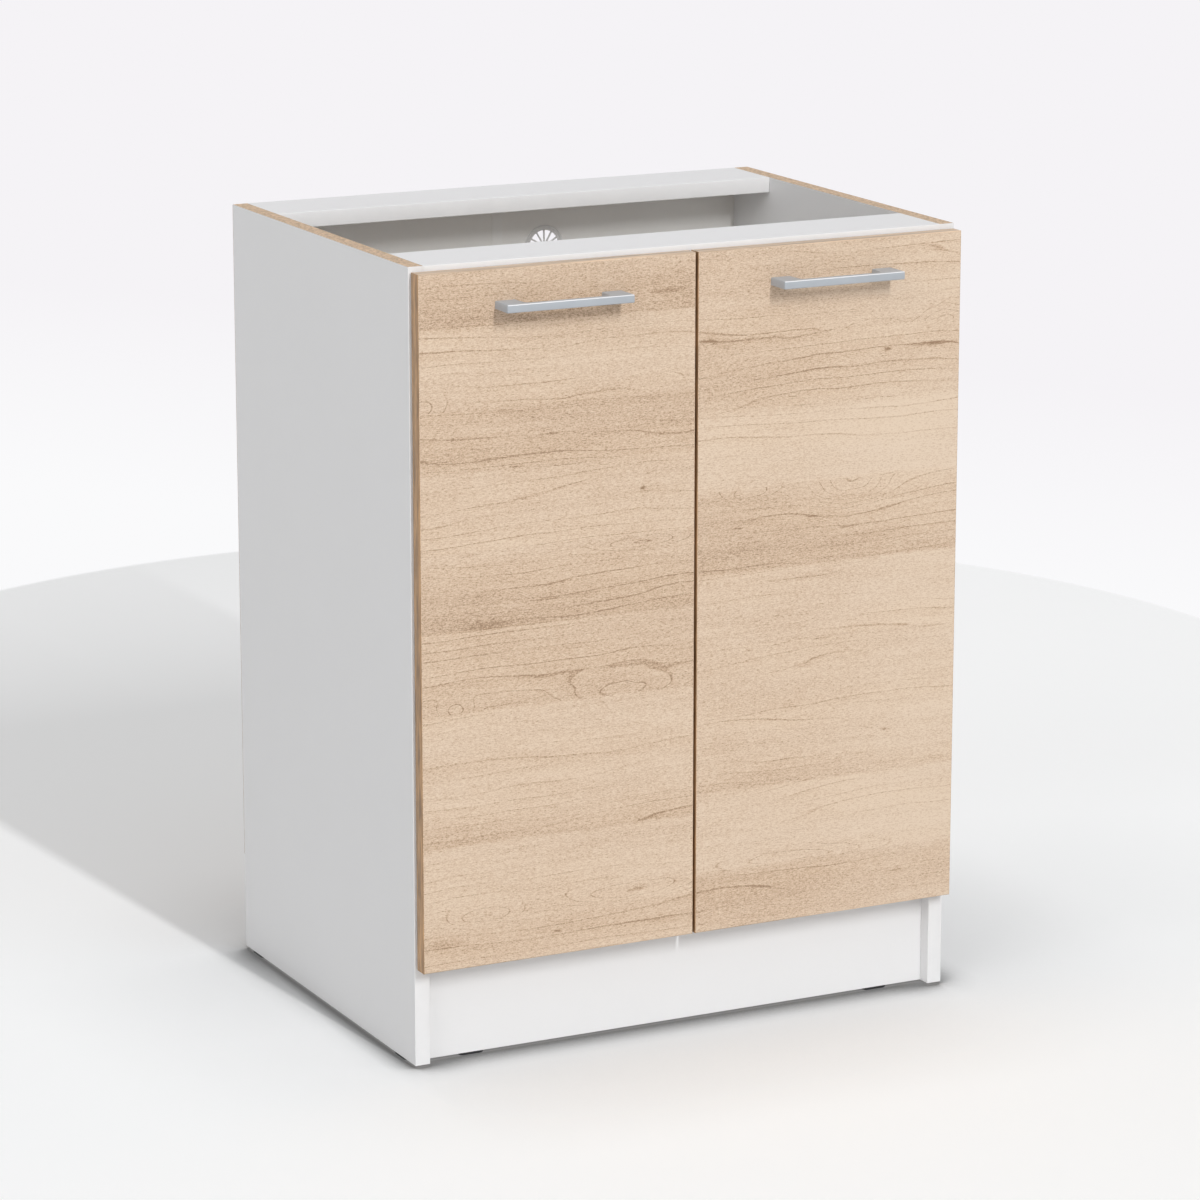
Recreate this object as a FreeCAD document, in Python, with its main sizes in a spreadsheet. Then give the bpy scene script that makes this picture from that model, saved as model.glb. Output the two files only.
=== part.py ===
import FreeCAD, Part
import math
import os
from types import SimpleNamespace

import Sketcher

# Kitchen base cabinet, 600 mm module: chipboard carcass, two doors on concealed hinges.
# Frame: origin under the middle of the cabinet on the floor, +Z up, doors towards -Y.

os.makedirs("parts", exist_ok=True)
document = FreeCAD.newDocument("kitchen_base_cabinet")

# Driving sizes in millimetres or degrees: alias, value, what it is.
SIZES = [
    # carcass boards
    ("cabinet_width", 600, "over both side panels"),
    ("side_height", 797, "side panel, without glides"),
    ("side_depth", 437, "side panel, front to back"),
    ("board", 16, "thickness of every chipboard panel"),
    ("band", 0.8, "thickness of the edge bands"),
    ("rail_depth", 80, "width of the flat top rails"),
    ("plinth_height", 100, "plinth board"),
    ("plinth_setback", 15, "plinth behind the side panels' front edges"),
    ("shelf_level", 455, "underside of the shelf above the floor"),
    ("shelf_setback", 30, "shelf behind the carcass front"),
    ("shelf_play", 1, "gap at each end and behind the shelf"),
    # back
    ("back_thickness", 3, "hardboard"),
    ("back_inset", 1, "back panel inside the carcass outline"),
    ("strip_width", 12, "joint strip across its flanges"),
    ("strip_wall", 0.8, "joint strip wall"),
    ("strip_seat", 0.2, "play of the hardboard in the strip"),
    ("nail_head_radius", 1.6, "back panel nail"),
    ("nail_head_height", 0.6, "back panel nail"),
    ("nail_radius", 0.7, "back panel nail"),
    ("nail_length", 16, "back panel nail"),
    ("nail_end_inset", 40, "first and last nail from the panel's end"),
    # vent rosette
    ("vent_offset", 55, "rosette centre beside the cabinet's middle"),
    ("vent_drop", 69, "rosette centre below the cabinet's top"),
    ("vent_flange_radius", 22.5, "rosette flange"),
    ("vent_flange", 1.6, "rosette flange thickness"),
    ("vent_collar_radius", 20.2, "rosette collar in the back panel"),
    ("vent_slot_outer", 17.2, "outer end of the air slots"),
    ("vent_slot_inner", 5.2, "inner end of the air slots"),
    ("vent_rib", 1.4, "rib between two slots"),
    ("vent_crown", 1.2, "how far the middle of the rosette stands proud"),
    # fittings of the corner joints
    ("cam_radius", 7.5, "cam disc"),
    ("cam_height", 12.3, "cam disc"),
    ("cam_setback", 24, "cam centre from the board's end"),
    ("cam_recess_width", 2.2, "cross recess of the cam"),
    ("cam_recess_depth", 3, "cross recess of the cam"),
    ("bolt_thread_radius", 2.5, "cam bolt in the side panel"),
    ("bolt_thread_length", 10.5, "cam bolt in the side panel"),
    ("bolt_collar_radius", 3.6, "cam bolt collar"),
    ("bolt_collar_height", 1.2, "cam bolt collar"),
    ("bolt_shaft_radius", 2.6, "cam bolt shaft"),
    ("bolt_neck_radius", 1.9, "cam bolt neck inside the cam"),
    ("bolt_head_radius", 3.2, "cam bolt head inside the cam"),
    ("bolt_head_height", 2.4, "cam bolt head"),
    ("dowel_radius", 4, "wooden dowel"),
    ("dowel_length", 30, "wooden dowel"),
    ("dowel_seat", 10, "dowel depth in the side panel"),
    ("dowel_chamfer", 1, "dowel end"),
    ("end_fitting_inset", 60, "cam row from the front and back of the bottom panel"),
    ("dowel_pitch", 32, "dowel beside its cam"),
    ("rail_cam_inset", 24, "cam from the rail's outer long edge"),
    ("plinth_cam_rise", 66, "cam above the plinth's lower edge"),
    # shelf pins
    ("pin_radius", 2.5, "shelf pin in the side panel"),
    ("pin_depth", 8, "shelf pin in the side panel"),
    ("pin_collar_radius", 4, "shelf pin collar"),
    ("pin_collar", 0.8, "shelf pin collar"),
    ("pin_tongue", 9, "shelf pin tongue under the shelf"),
    ("pin_tongue_height", 3, "shelf pin tongue"),
    ("pin_tongue_width", 6, "shelf pin tongue"),
    ("pin_row_inset", 70, "shelf pin rows from the front and back"),
    ("pin_row_pitch", 32, "spare shelf positions"),
    # glides
    ("glide_length", 27, "floor glide"),
    ("glide_width", 15, "floor glide"),
    ("glide_height", 3, "floor glide"),
    ("glide_corner", 5, "floor glide corner radius"),
    ("glide_bevel", 0.8, "floor glide lower edge"),
    ("glide_front_inset", 40.5, "front glides behind the carcass front"),
    ("glide_rear_inset", 28.5, "rear glides before the carcass back"),
    ("glide_plinth_inset", 53, "plinth glides inside the side panels"),
    ("tack_radius", 0.9, "glide nail"),
    ("tack_head_radius", 3, "glide nail"),
    ("tack_head_height", 1, "glide nail"),
    ("tack_length", 14, "glide nail"),
    ("tack_sink", 0.6, "glide nail head below the glide's face"),
    # doors
    ("door_top_drop", 5, "door's top below the carcass top"),
    ("door_bottom_drop", 0.5, "door's lower edge below the bottom panel"),
    ("door_reveal", 2, "door inside the side panel's outer face"),
    ("door_split", 3, "gap between the doors"),
    ("door_gap", 2, "gap between door and carcass"),
    ("bumper_radius", 4, "soft bumper on the door's back face"),
    ("bumper_play", 0.2, "bumper off the carcass with the door shut"),
    ("bumper_inset", 22, "bumper centre from the door's free edge"),
    # handles
    ("handle_length", 135.5, "over the bow handle"),
    ("handle_end", 3.75, "handle's end beyond its screw"),
    ("handle_height", 8, "bar seen from the front"),
    ("handle_reach", 28, "from the door to the bar's face"),
    ("handle_bar", 7.5, "bar seen from above"),
    ("handle_foot", 21.5, "leg where it meets the door"),
    ("handle_flare", 1.5, "how much wider the leg is at the bar"),
    ("handle_inner_round", 3, "inner corners of the bow"),
    ("handle_edge_round", 0.6, "outer edges of the bow"),
    ("handle_drop", 35, "handle centre below the door's top"),
    ("screw_radius", 2, "handle screw"),
    ("screw_grip", 10, "handle screw in the handle's leg"),
    ("screw_head_radius", 4, "handle screw"),
    ("screw_head_height", 2.4, "handle screw"),
    ("screw_recess_width", 1, "handle screw cross recess"),
    ("screw_recess_depth", 1.4, "handle screw cross recess"),
    # hinges: the mounting plate and the arm on the side panel
    ("hinge_end_inset", 100, "hinge centre from the door's end"),
    ("plate_setback", 37, "plate screws behind the carcass front"),
    ("plate_screw_pitch", 32, "between the two plate screws"),
    ("plate_screw_radius", 2.5, "plate screw"),
    ("plate_screw_grip", 11, "plate screw in the side panel"),
    ("plate_screw_head_radius", 3.8, "plate screw"),
    ("plate_screw_head_height", 1.6, "plate screw"),
    ("plate_base", 2, "mounting plate thickness"),
    ("plate_wing_width", 13, "mounting plate wing, front to back"),
    ("plate_wing_margin", 7, "mounting plate beyond its screws"),
    ("plate_bridge_front", 26, "bridge of the plate behind the carcass front"),
    ("plate_bridge_half", 4.8, "half the bridge's height"),
    ("arm_crown", 22, "inside of the arm's web above the side panel"),
    ("arm_wall", 1.2, "arm sheet"),
    ("arm_half", 6.25, "half the arm's height"),
    ("arm_web_front", 16.5, "arm web behind the carcass front"),
    ("arm_back", 62, "arm's rear end behind the carcass front"),
    ("arm_lift", 3, "arm cheeks above the side panel"),
    ("arm_nose", 3.2, "cheek around the long link's pin"),
    ("arm_taper", 14, "length of the slanted front of the cheeks"),
    ("lug_half", 2.1, "half the width of the pin lugs"),
    ("lug_turn", 12, "lug bend behind the short link's pin"),
    ("fixing_screw_y", 52, "fixing screw behind the carcass front"),
    ("adjuster_y", 32, "side adjusting screw behind the carcass front"),
    ("arm_screw_radius", 2.4, "fixing and adjusting screws"),
    ("arm_screw_grip", 8, "fixing screw in the bridge"),
    ("arm_screw_head_radius", 3.9, "fixing screw"),
    ("arm_screw_head_height", 2, "fixing and adjusting screws above the arm"),
    ("arm_slot", 3, "travel of the arm under the fixing screw"),
    # hinges: the cup in the door
    ("cup_radius", 17.4, "cup"),
    ("cup_depth", 11.5, "cup below the door's back face"),
    ("cup_wall", 0.8, "cup wall and bottom"),
    ("cup_edge", 5.1, "cup rim from the door's edge"),
    ("cup_flange", 1.2, "cup flange thickness"),
    ("cup_flange_rim", 1.6, "flange beyond the cup"),
    ("cup_wing_width", 12, "flange wing across"),
    ("cup_wing_margin", 5, "flange wing beyond its screws"),
    ("cup_screw_shift", 5.5, "cup screws from the cup's centre line"),
    ("cup_screw_pitch", 48, "between the two cup screws"),
    ("cup_screw_radius", 1.6, "cup screw"),
    ("cup_screw_head_radius", 3.2, "cup screw"),
    ("cup_screw_head_height", 1.4, "cup screw"),
    ("cup_screw_length", 12, "cup screw in the door"),
    # hinges: links and pins, seen from above
    ("link_pin_radius", 1, "every link pin"),
    ("short_arm_x", 9.76, "short link's arm pin from the side panel's inner face"),
    ("short_arm_y", 8, "short link's arm pin behind the carcass front"),
    ("long_arm_x", 19.74, "long link's arm pin from the side panel's inner face"),
    ("long_arm_y", 13.77, "long link's arm pin behind the carcass front"),
    ("short_cup_x", 14.2, "short link's cup pin from the cup's centre"),
    ("short_cup_y", 4.1, "short link's cup pin below the door's back face"),
    ("long_cup_x", 13.12, "long link's cup pin from the cup's centre"),
    ("long_cup_y", 1.74, "long link's cup pin below the door's back face"),
    ("long_eye_shift", 0.5, "long link's open eye off its pin with the door shut"),
    ("long_eye_play", 0.55, "radial play of the long link's open eye"),
    ("link_half", 1.1, "half the width of a link between its eyes"),
    ("link_eye", 1.9, "outer radius of a link eye"),
    ("open_eye", 2.15, "outer radius of the long link's open eye"),
    ("short_link_half", 2.6, "half the short link's height"),
    ("layer", 1, "thickness of a lug and of a long link ear"),
    ("layer_gap", 0.15, "between the layers of links and lugs"),
    # fits
    ("fit", 0.1, "play of dowels, screws and cups in their holes"),
    ("link_play", 0.04, "radial play of a link on its pin"),
    ("overrun", 5, "how far cutters run past a face"),
]


class Size:
    """A length or angle that keeps its number together with its sheet formula."""

    def __init__(self, number, formula):
        self.number = number
        self.formula = formula

    def __add__(self, other):
        return combine(self, "+", other, self.number + number_of(other))

    def __radd__(self, other):
        return combine(other, "+", self, number_of(other) + self.number)

    def __sub__(self, other):
        return combine(self, "-", other, self.number - number_of(other))

    def __rsub__(self, other):
        return combine(other, "-", self, number_of(other) - self.number)

    def __mul__(self, other):
        return combine(self, "*", other, self.number * number_of(other))

    def __rmul__(self, other):
        return combine(other, "*", self, number_of(other) * self.number)

    def __truediv__(self, other):
        return combine(self, "/", other, self.number / number_of(other))

    def __neg__(self):
        return Size(-self.number, "(-1 * " + self.formula + ")")


def number_of(size):
    return size.number if isinstance(size, Size) else size


def formula_of(size):
    return size.formula if isinstance(size, Size) else repr(size)


def combine(first, sign, second, number):
    return Size(number, "(" + formula_of(first) + " " + sign + " " + formula_of(second) + ")")


def root_of(value):
    return Size(math.sqrt(value.number), "sqrt(" + value.formula + ")")


def angle_of(run_y, run_x):
    """Direction of a run in degrees."""
    number = math.degrees(math.atan2(run_y.number, run_x.number))
    return Size(number, "atan2(" + run_y.formula + "; " + run_x.formula + ")")


def sine(turn):
    return Size(math.sin(math.radians(turn.number)), "sin(" + turn.formula + ")")


def cosine(turn):
    return Size(math.cos(math.radians(turn.number)), "cos(" + turn.formula + ")")


def write_sheet():
    """Put the driving sizes into a sheet and return them by alias."""
    sheet = document.addObject("Spreadsheet::Sheet", "sizes")
    aliases = SimpleNamespace()
    for row, (alias, value, note) in enumerate(SIZES, start=1):
        sheet.set("A" + str(row), alias)
        sheet.set("B" + str(row), str(value))
        sheet.setAlias("B" + str(row), alias)
        sheet.set("C" + str(row), note)
        setattr(aliases, alias, Size(value, "sizes." + alias))
    document.recompute()
    return aliases


size = write_sheet()
places = document.addObject("Spreadsheet::Sheet", "places")
place_names = []


def named(alias, value):
    """Keep a derived place in the second sheet and return it as a short formula."""
    place_names.append(alias)
    row = str(len(place_names))
    places.set("A" + row, alias)
    places.set("B" + row, "=" + value.formula)
    places.setAlias("B" + row, alias)
    places.recompute()
    return Size(value.number, "places." + alias)


# Directions for placing pieces: each turns a piece's own Z that way.
UP = FreeCAD.Rotation()
DOWN = FreeCAD.Rotation(FreeCAD.Vector(1, 0, 0), 180)
BACK = FreeCAD.Rotation(FreeCAD.Vector(1, 0, 0), -90)
FRONT = FreeCAD.Rotation(FreeCAD.Vector(1, 0, 0), 90)
RIGHT = FreeCAD.Rotation(FreeCAD.Vector(0, 1, 0), 90)
LEFT = FreeCAD.Rotation(FreeCAD.Vector(0, 1, 0), -90)
UP_CROSSWISE = FreeCAD.Rotation(FreeCAD.Vector(0, 0, 1), 90)
VENT_SLOTS = 12
FRONT_RIB_UP = FRONT.multiply(FreeCAD.Rotation(FreeCAD.Vector(0, 0, 1), 180 / VENT_SLOTS))
FORWARDS = {"up": UP, "down": DOWN, "back": BACK, "front": FRONT, "right": RIGHT, "left": LEFT}

# Derived planes and levels.
glide = size.glide_height
back_depth = named("back_depth", size.back_thickness + size.strip_seat + size.strip_wall)
total_depth = named("total_depth",
                    size.handle_reach + size.board + size.door_gap + size.side_depth + back_depth)
door_front = named("door_front", size.handle_reach - total_depth / 2)
door_back = named("door_back", door_front + size.board)
carcass_front = named("carcass_front", door_back + size.door_gap)
carcass_back = named("carcass_back", carcass_front + size.side_depth)
board_front = named("board_front", carcass_front + size.band)
outer_side = named("outer_side", size.cabinet_width / 2)
inner_side = named("inner_side", outer_side - size.board)
inner_width = named("inner_width", 2 * inner_side)
carcass_top = named("carcass_top", glide + size.side_height)
rail_bottom = named("rail_bottom", carcass_top - size.board)
plinth_top = named("plinth_top", glide + size.plinth_height)
floor_top = named("floor_top", plinth_top + size.board)
plinth_front = named("plinth_front", carcass_front + size.plinth_setback)
plinth_back = named("plinth_back", plinth_front + size.board)
door_top = named("door_top", carcass_top - size.door_top_drop)
door_bottom = named("door_bottom", plinth_top - size.door_bottom_drop)
door_height = named("door_height", door_top - door_bottom)
door_width = named("door_width", outer_side - size.door_reveal - size.door_split / 2)
door_edge = named("door_edge", size.door_reveal - outer_side)
half_board = size.board / 2


def bind(thing, **formulas):
    """Tie an object's properties to sheet formulas."""
    for name, value in formulas.items():
        thing.setExpression(name, formula_of(value))
    return thing


def put(thing, x=0, y=0, z=0, facing=UP):
    """Place an object by sheet formulas, with its own Z turned to one of the directions."""
    holder = "LinkPlacement" if thing.TypeId == "App::Link" else "Placement"
    setattr(thing, holder, FreeCAD.Placement(FreeCAD.Vector(), facing))
    for axis, value in zip("xyz", (x, y, z)):
        if isinstance(value, Size):
            thing.setExpression(holder + ".Base." + axis, value.formula)
    return thing


def block(name, length, width, height, x=0, y=0, z=0):
    """Box from its lowest corner."""
    piece = document.addObject("Part::Box", name)
    bind(piece, Length=length, Width=width, Height=height)
    return put(piece, x, y, z)


def cylinder(name, radius, height, x=0, y=0, z=0, facing=UP):
    piece = document.addObject("Part::Cylinder", name)
    bind(piece, Radius=radius, Height=height)
    return put(piece, x, y, z, facing)


def drill(name, radius, depth, x, y, z, way):
    """Cutter for a hole that starts just outside a face and goes the given way into it."""
    outside = {"left": (size.overrun, 0, 0), "right": (-size.overrun, 0, 0),
               "front": (0, size.overrun, 0), "back": (0, -size.overrun, 0),
               "down": (0, 0, size.overrun), "up": (0, 0, -size.overrun)}[way]
    start = [place + shift for place, shift in zip((x, y, z), outside)]
    return cylinder(name, radius, depth + size.overrun, *start, FORWARDS[way])


def together(name, pieces):
    """Separate solids kept side by side as one node."""
    node = document.addObject("Part::Compound", name)
    node.Links = pieces
    return node


def fuse(name, pieces):
    node = document.addObject("Part::MultiFuse", name)
    node.Shapes = pieces
    return node


def cut(name, base, cutters):
    node = document.addObject("Part::Cut", name)
    node.Base = base
    node.Tool = cutters[0] if len(cutters) == 1 else fuse(name + "_cutters", cutters)
    return node


def mirrored(name, source):
    """The same piece on the other side of the cabinet's middle plane."""
    node = document.addObject("Part::Mirroring", name)
    node.Source = source
    node.Normal = FreeCAD.Vector(1, 0, 0)
    return node


def copies(name, master, spots):
    """Copies of one piece, each at (x, y, z, direction)."""
    links = []
    for number, (x, y, z, facing) in enumerate(spots, start=1):
        link = document.addObject("App::Link", name + "_" + str(number))
        link.LinkedObject = master
        links.append(put(link, x, y, z, facing))
    return together(name, links)


def origin_feature(body, role):
    return next(feature for feature in body.Origin.OriginFeatures if feature.Role == role)


def outline(body, plane, points):
    """Closed sketch whose corners are bound to sheet formulas."""
    sketch = body.newObject("Sketcher::SketchObject", body.Name + "_outline")
    sketch.AttachmentSupport = [(origin_feature(body, plane), "")]
    sketch.MapMode = "FlatFace"
    corners = [FreeCAD.Vector(number_of(x), number_of(y), 0) for x, y in points]
    for number, corner in enumerate(corners):
        sketch.addGeometry(Part.LineSegment(corner, corners[(number + 1) % len(corners)]), False)
    for number, (x, y) in enumerate(points):
        following = (number + 1) % len(points)
        sketch.addConstraint(Sketcher.Constraint("Coincident", number, 2, following, 1))
        for kind, value in (("DistanceX", x), ("DistanceY", y)):
            place = sketch.addConstraint(
                Sketcher.Constraint(kind, -1, 1, number, 1, float(number_of(value))))
            if isinstance(value, Size):
                sketch.setExpression("Constraints[" + str(place) + "]", value.formula)
    return sketch


def padded(name, points, length, plane="XY_Plane"):
    """Body drawn as an outline and pulled to a length."""
    body = document.addObject("PartDesign::Body", name)
    pad = body.newObject("PartDesign::Pad", name + "_pad")
    pad.Profile = outline(body, plane, points)
    bind(pad, Length=length)
    document.recompute()
    return body


def turned(name, points):
    """Body of revolution about its own Z from (radius, height) corners."""
    body = document.addObject("PartDesign::Body", name)
    sketch = outline(body, "XZ_Plane", points)
    revolution = body.newObject("PartDesign::Revolution", name + "_turned")
    revolution.Profile = sketch
    revolution.ReferenceAxis = (origin_feature(body, "Z_Axis"), [""])
    document.recompute()
    return body


def bore(body, radius, height, x=0, y=0, z=0, facing=UP):
    """Round hole through a body."""
    feature = body.newObject("PartDesign::SubtractiveCylinder", body.Name + "_bore")
    bind(feature, Radius=radius, Height=height)
    put(feature, x, y, z, facing)
    document.recompute()
    return feature


def notch(body, length, width, height, x=0, y=0, z=0):
    """Square-cornered cut in a body, centred on x and y."""
    feature = body.newObject("PartDesign::SubtractiveBox", body.Name + "_notch")
    bind(feature, Length=length, Width=width, Height=height)
    put(feature, x - length / 2, y - width / 2, z)
    document.recompute()
    return feature


def soften(body, kind, amount, wanted):
    """Fillet or chamfer the edges for which wanted(edge) holds."""
    tip = body.Tip
    names = ["Edge" + str(number) for number, edge in enumerate(tip.Shape.Edges, start=1) if wanted(edge)]
    feature = body.newObject("PartDesign::" + kind, body.Name + "_" + kind.lower())
    feature.Base = (tip, names)
    bind(feature, **{"Radius" if kind == "Fillet" else "Size": amount})
    document.recompute()
    return feature


TOUCH = 1e-4


def upright(edge):
    """True for an edge along the body's own Z."""
    first, last = edge.Vertexes[0].Point, edge.Vertexes[-1].Point
    return abs(first.x - last.x) + abs(first.y - last.y) < TOUCH < abs(first.z - last.z)


def level(edge, height):
    """True for an edge that lies at one height of the body."""
    return all(abs(vertex.Z - number_of(height)) < TOUCH for vertex in edge.Vertexes)


# Joints between the boards: each is a cam with its bolt, or a dowel, at one end of a board.
# A spot is (y, z, direction in which the board's cam opens).
cam_row_front = named("cam_row_front", carcass_front + size.end_fitting_inset)
cam_row_back = named("cam_row_back", carcass_back - size.end_fitting_inset)
floor_middle = named("floor_middle", plinth_top + half_board)
rail_middle = named("rail_middle", rail_bottom + half_board)
front_rail_cam = named("front_rail_cam", carcass_front + size.rail_cam_inset)
rear_rail_cam = named("rear_rail_cam", carcass_back - size.rail_cam_inset)
rear_rail_front = named("rear_rail_front", carcass_back - size.rail_depth)
plinth_middle = named("plinth_middle", plinth_front + half_board)
plinth_cam = named("plinth_cam", glide + size.plinth_cam_rise)
FITTINGS = {
    "bottom_panel": {
        "cams": [(cam_row_front, floor_middle, "down"), (cam_row_back, floor_middle, "down")],
        "dowels": [(cam_row_front + size.dowel_pitch, floor_middle),
                   (cam_row_back - size.dowel_pitch, floor_middle)]},
    "top_rail_front": {
        "cams": [(front_rail_cam, rail_middle, "down")],
        "dowels": [(front_rail_cam + size.dowel_pitch, rail_middle)]},
    "top_rail_rear": {
        "cams": [(rear_rail_cam, rail_middle, "down")],
        "dowels": [(rear_rail_cam - size.dowel_pitch, rail_middle)]},
    "plinth_board": {
        "cams": [(plinth_middle, plinth_cam, "back")],
        "dowels": [(plinth_middle, plinth_cam - size.dowel_pitch)]},
}


def board_end_cutters(board_name):
    """Holes that the cams, bolts and dowels need at both ends of one board."""
    cutters = []
    cam_center = inner_side - size.cam_setback
    for way, end, cam_x in (("right", -inner_side, -cam_center), ("left", inner_side, cam_center)):
        for y, z, opening in FITTINGS[board_name]["cams"]:
            cutters.append(drill(board_name + "_bolt_hole", size.bolt_collar_radius + size.fit,
                                 size.cam_setback, end, y, z, way))
            inwards = {"down": "up", "back": "front"}[opening]
            face_y = y + half_board if opening == "back" else y
            face_z = z - half_board if opening == "down" else z
            cutters.append(drill(board_name + "_cam_hole", size.cam_radius + size.fit,
                                 size.cam_height + size.fit, cam_x, face_y, face_z, inwards))
        for y, z in FITTINGS[board_name]["dowels"]:
            cutters.append(drill(board_name + "_dowel_hole", size.dowel_radius + size.fit,
                                 size.dowel_length - size.dowel_seat + size.fit, end, y, z, way))
    return cutters


def nail_spots_along(start, end, count):
    """Places of a row of nails between two inset ends."""
    first = start + size.nail_end_inset
    pitch = (end - size.nail_end_inset - first) / (count - 1)
    return [first + number * pitch for number in range(count)]


SIDE_NAILS = 6
CROSS_NAILS = 3
back_left = named("back_left", size.back_inset - outer_side)
back_middle = named("back_middle", size.strip_wall / 2 + size.strip_seat)
back_bottom = named("back_bottom", plinth_top + size.back_inset)
back_top = named("back_top", carcass_top - size.back_inset)
nail_column = named("nail_column", outer_side - half_board)


def back_nail_spots():
    """(x, z) of every nail in the left half of the back."""
    spots = [(-nail_column, z) for z in nail_spots_along(back_bottom, back_top, SIDE_NAILS)]
    for z in (floor_middle, rail_middle):
        spots += [(-inner_side * number / (CROSS_NAILS + 1), z) for number in range(1, CROSS_NAILS + 1)]
    return spots


nail_grip = named("nail_grip", size.nail_length - size.back_thickness + size.fit)
NAIL_SPOTS = back_nail_spots()
hinge_low = named("hinge_low", door_bottom + size.hinge_end_inset)
hinge_high = named("hinge_high", door_top - size.hinge_end_inset)
HINGE_LEVELS = {"lower": hinge_low, "upper": hinge_high}
pin_level = named("pin_level", size.shelf_level - size.pin_tongue_height / 2)
pin_row_front = named("pin_row_front", carcass_front + size.pin_row_inset)
pin_row_back = named("pin_row_back", carcass_back - size.pin_row_inset)
vent_level = named("vent_level", carcass_top - size.vent_drop)
cup_center_x = named("cup_center_x", door_edge + size.cup_edge + size.cup_radius)
bumper_x = named("bumper_x", door_edge + door_width - size.bumper_inset)
upper_bumper = named("upper_bumper", (rail_bottom + door_top) / 2)
handle_x = named("handle_x", door_edge + door_width / 2)
handle_level = named("handle_level", door_top - size.handle_drop)
screw_spread = named("screw_spread", size.handle_length / 2 - size.handle_end)
glide_front = named("glide_front", carcass_front + size.glide_front_inset)
glide_rear = named("glide_rear", carcass_back - size.glide_rear_inset)
glide_side = named("glide_side", outer_side - half_board)
glide_plinth = named("glide_plinth", inner_side - size.glide_plinth_inset)
tack_base = named("tack_base", size.tack_sink + size.tack_head_height)
tack_grip = named("tack_grip", size.tack_length + size.tack_sink - glide + size.fit)
plate_screw_y = named("plate_screw_y", carcass_front + size.plate_setback)
GLIDE_SPOTS = [(x, y, 0, UP_CROSSWISE) for x in (-glide_side, glide_side) for y in (glide_front, glide_rear)]
GLIDE_SPOTS += [(x, plinth_middle, 0, UP) for x in (-glide_plinth, glide_plinth)]

# Shares and counts that follow the size they are multiplied by.
FLANGE_SLANT_SHARE = 0.5
SLOT_TANGENT_SHARE = math.tan(math.pi / VENT_SLOTS)
SLOT_SHOULDER_SHARE = 0.955
SCREW_CROWN_SHARE = 0.6
SHORT_LINK_BEND_SHARES = [(0.518, 0.219), (0.895, 0.282)]
LONG_LINK_BEND_SHARES = [(0.631, 0), (0.881, 0.076)]


def side_panel():
    """Left side panel with every hole that its fittings need."""
    name = "side_panel_left"
    cutters = []
    for fittings in FITTINGS.values():
        for y, z, _ in fittings["cams"]:
            cutters.append(drill(name + "_bolt_hole", size.bolt_thread_radius + size.fit,
                                 size.bolt_thread_length + size.fit, -inner_side, y, z, "left"))
        for y, z in fittings["dowels"]:
            cutters.append(drill(name + "_dowel_hole", size.dowel_radius + size.fit,
                                 size.dowel_seat + size.fit, -inner_side, y, z, "left"))
    for y in (pin_row_front, pin_row_back):
        for step in (-1, 0, 1):
            cutters.append(drill(name + "_pin_hole", size.pin_radius + size.fit,
                                 size.pin_depth + size.fit, -inner_side, y,
                                 pin_level + step * size.pin_row_pitch, "left"))
    for hinge_level in HINGE_LEVELS.values():
        for sign in (-1, 1):
            cutters.append(drill(name + "_plate_hole", size.plate_screw_radius + size.fit,
                                 size.plate_screw_grip + size.fit, -inner_side, plate_screw_y,
                                 hinge_level + sign * size.plate_screw_pitch / 2, "left"))
    for z in nail_spots_along(back_bottom, back_top, SIDE_NAILS):
        cutters.append(drill(name + "_nail_hole", size.nail_radius + size.fit,
                             nail_grip, -nail_column, carcass_back, z, "front"))
    for y in (glide_front, glide_rear):
        cutters.append(drill(name + "_glide_hole", size.tack_radius + size.fit,
                             tack_grip, -glide_side, y, glide, "up"))
    blank = block(name + "_blank", size.board, carcass_back - board_front, size.side_height,
                  -outer_side, board_front, glide)
    return cut(name, blank, cutters)


def cross_nail_cutters(name, z):
    """Nail holes in the back edge of a board between the sides, on both halves."""
    cutters = []
    for x, spot_z in NAIL_SPOTS[SIDE_NAILS:]:
        if spot_z is z:
            for place in (x, -x):
                cutters.append(drill(name + "_nail_hole", size.nail_radius + size.fit,
                                     nail_grip, place, carcass_back, z, "front"))
    return cutters


def floor_board(name, front, back, bottom, extra=()):
    """Board lying flat between the side panels, with its end fittings drilled."""
    blank = block(name + "_blank", inner_width, back - front, size.board, -inner_side, front, bottom)
    return cut(name, blank, board_end_cutters(name) + list(extra))


def plinth_board():
    blank = block("plinth_board_blank", inner_width, size.board, size.plinth_height,
                  -inner_side, plinth_front, glide)
    cutters = board_end_cutters("plinth_board")
    for x in (-glide_plinth, glide_plinth):
        cutters.append(drill("plinth_board_glide_hole", size.tack_radius + size.fit, tack_grip,
                             x, plinth_middle, glide, "up"))
    return cut("plinth_board", blank, cutters)


def shelf():
    reach = inner_side - size.shelf_play
    front = carcass_front + size.shelf_setback + size.band
    return block("shelf", 2 * reach, carcass_back - size.shelf_play - front, size.board,
                 -reach, front, size.shelf_level)


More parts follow.
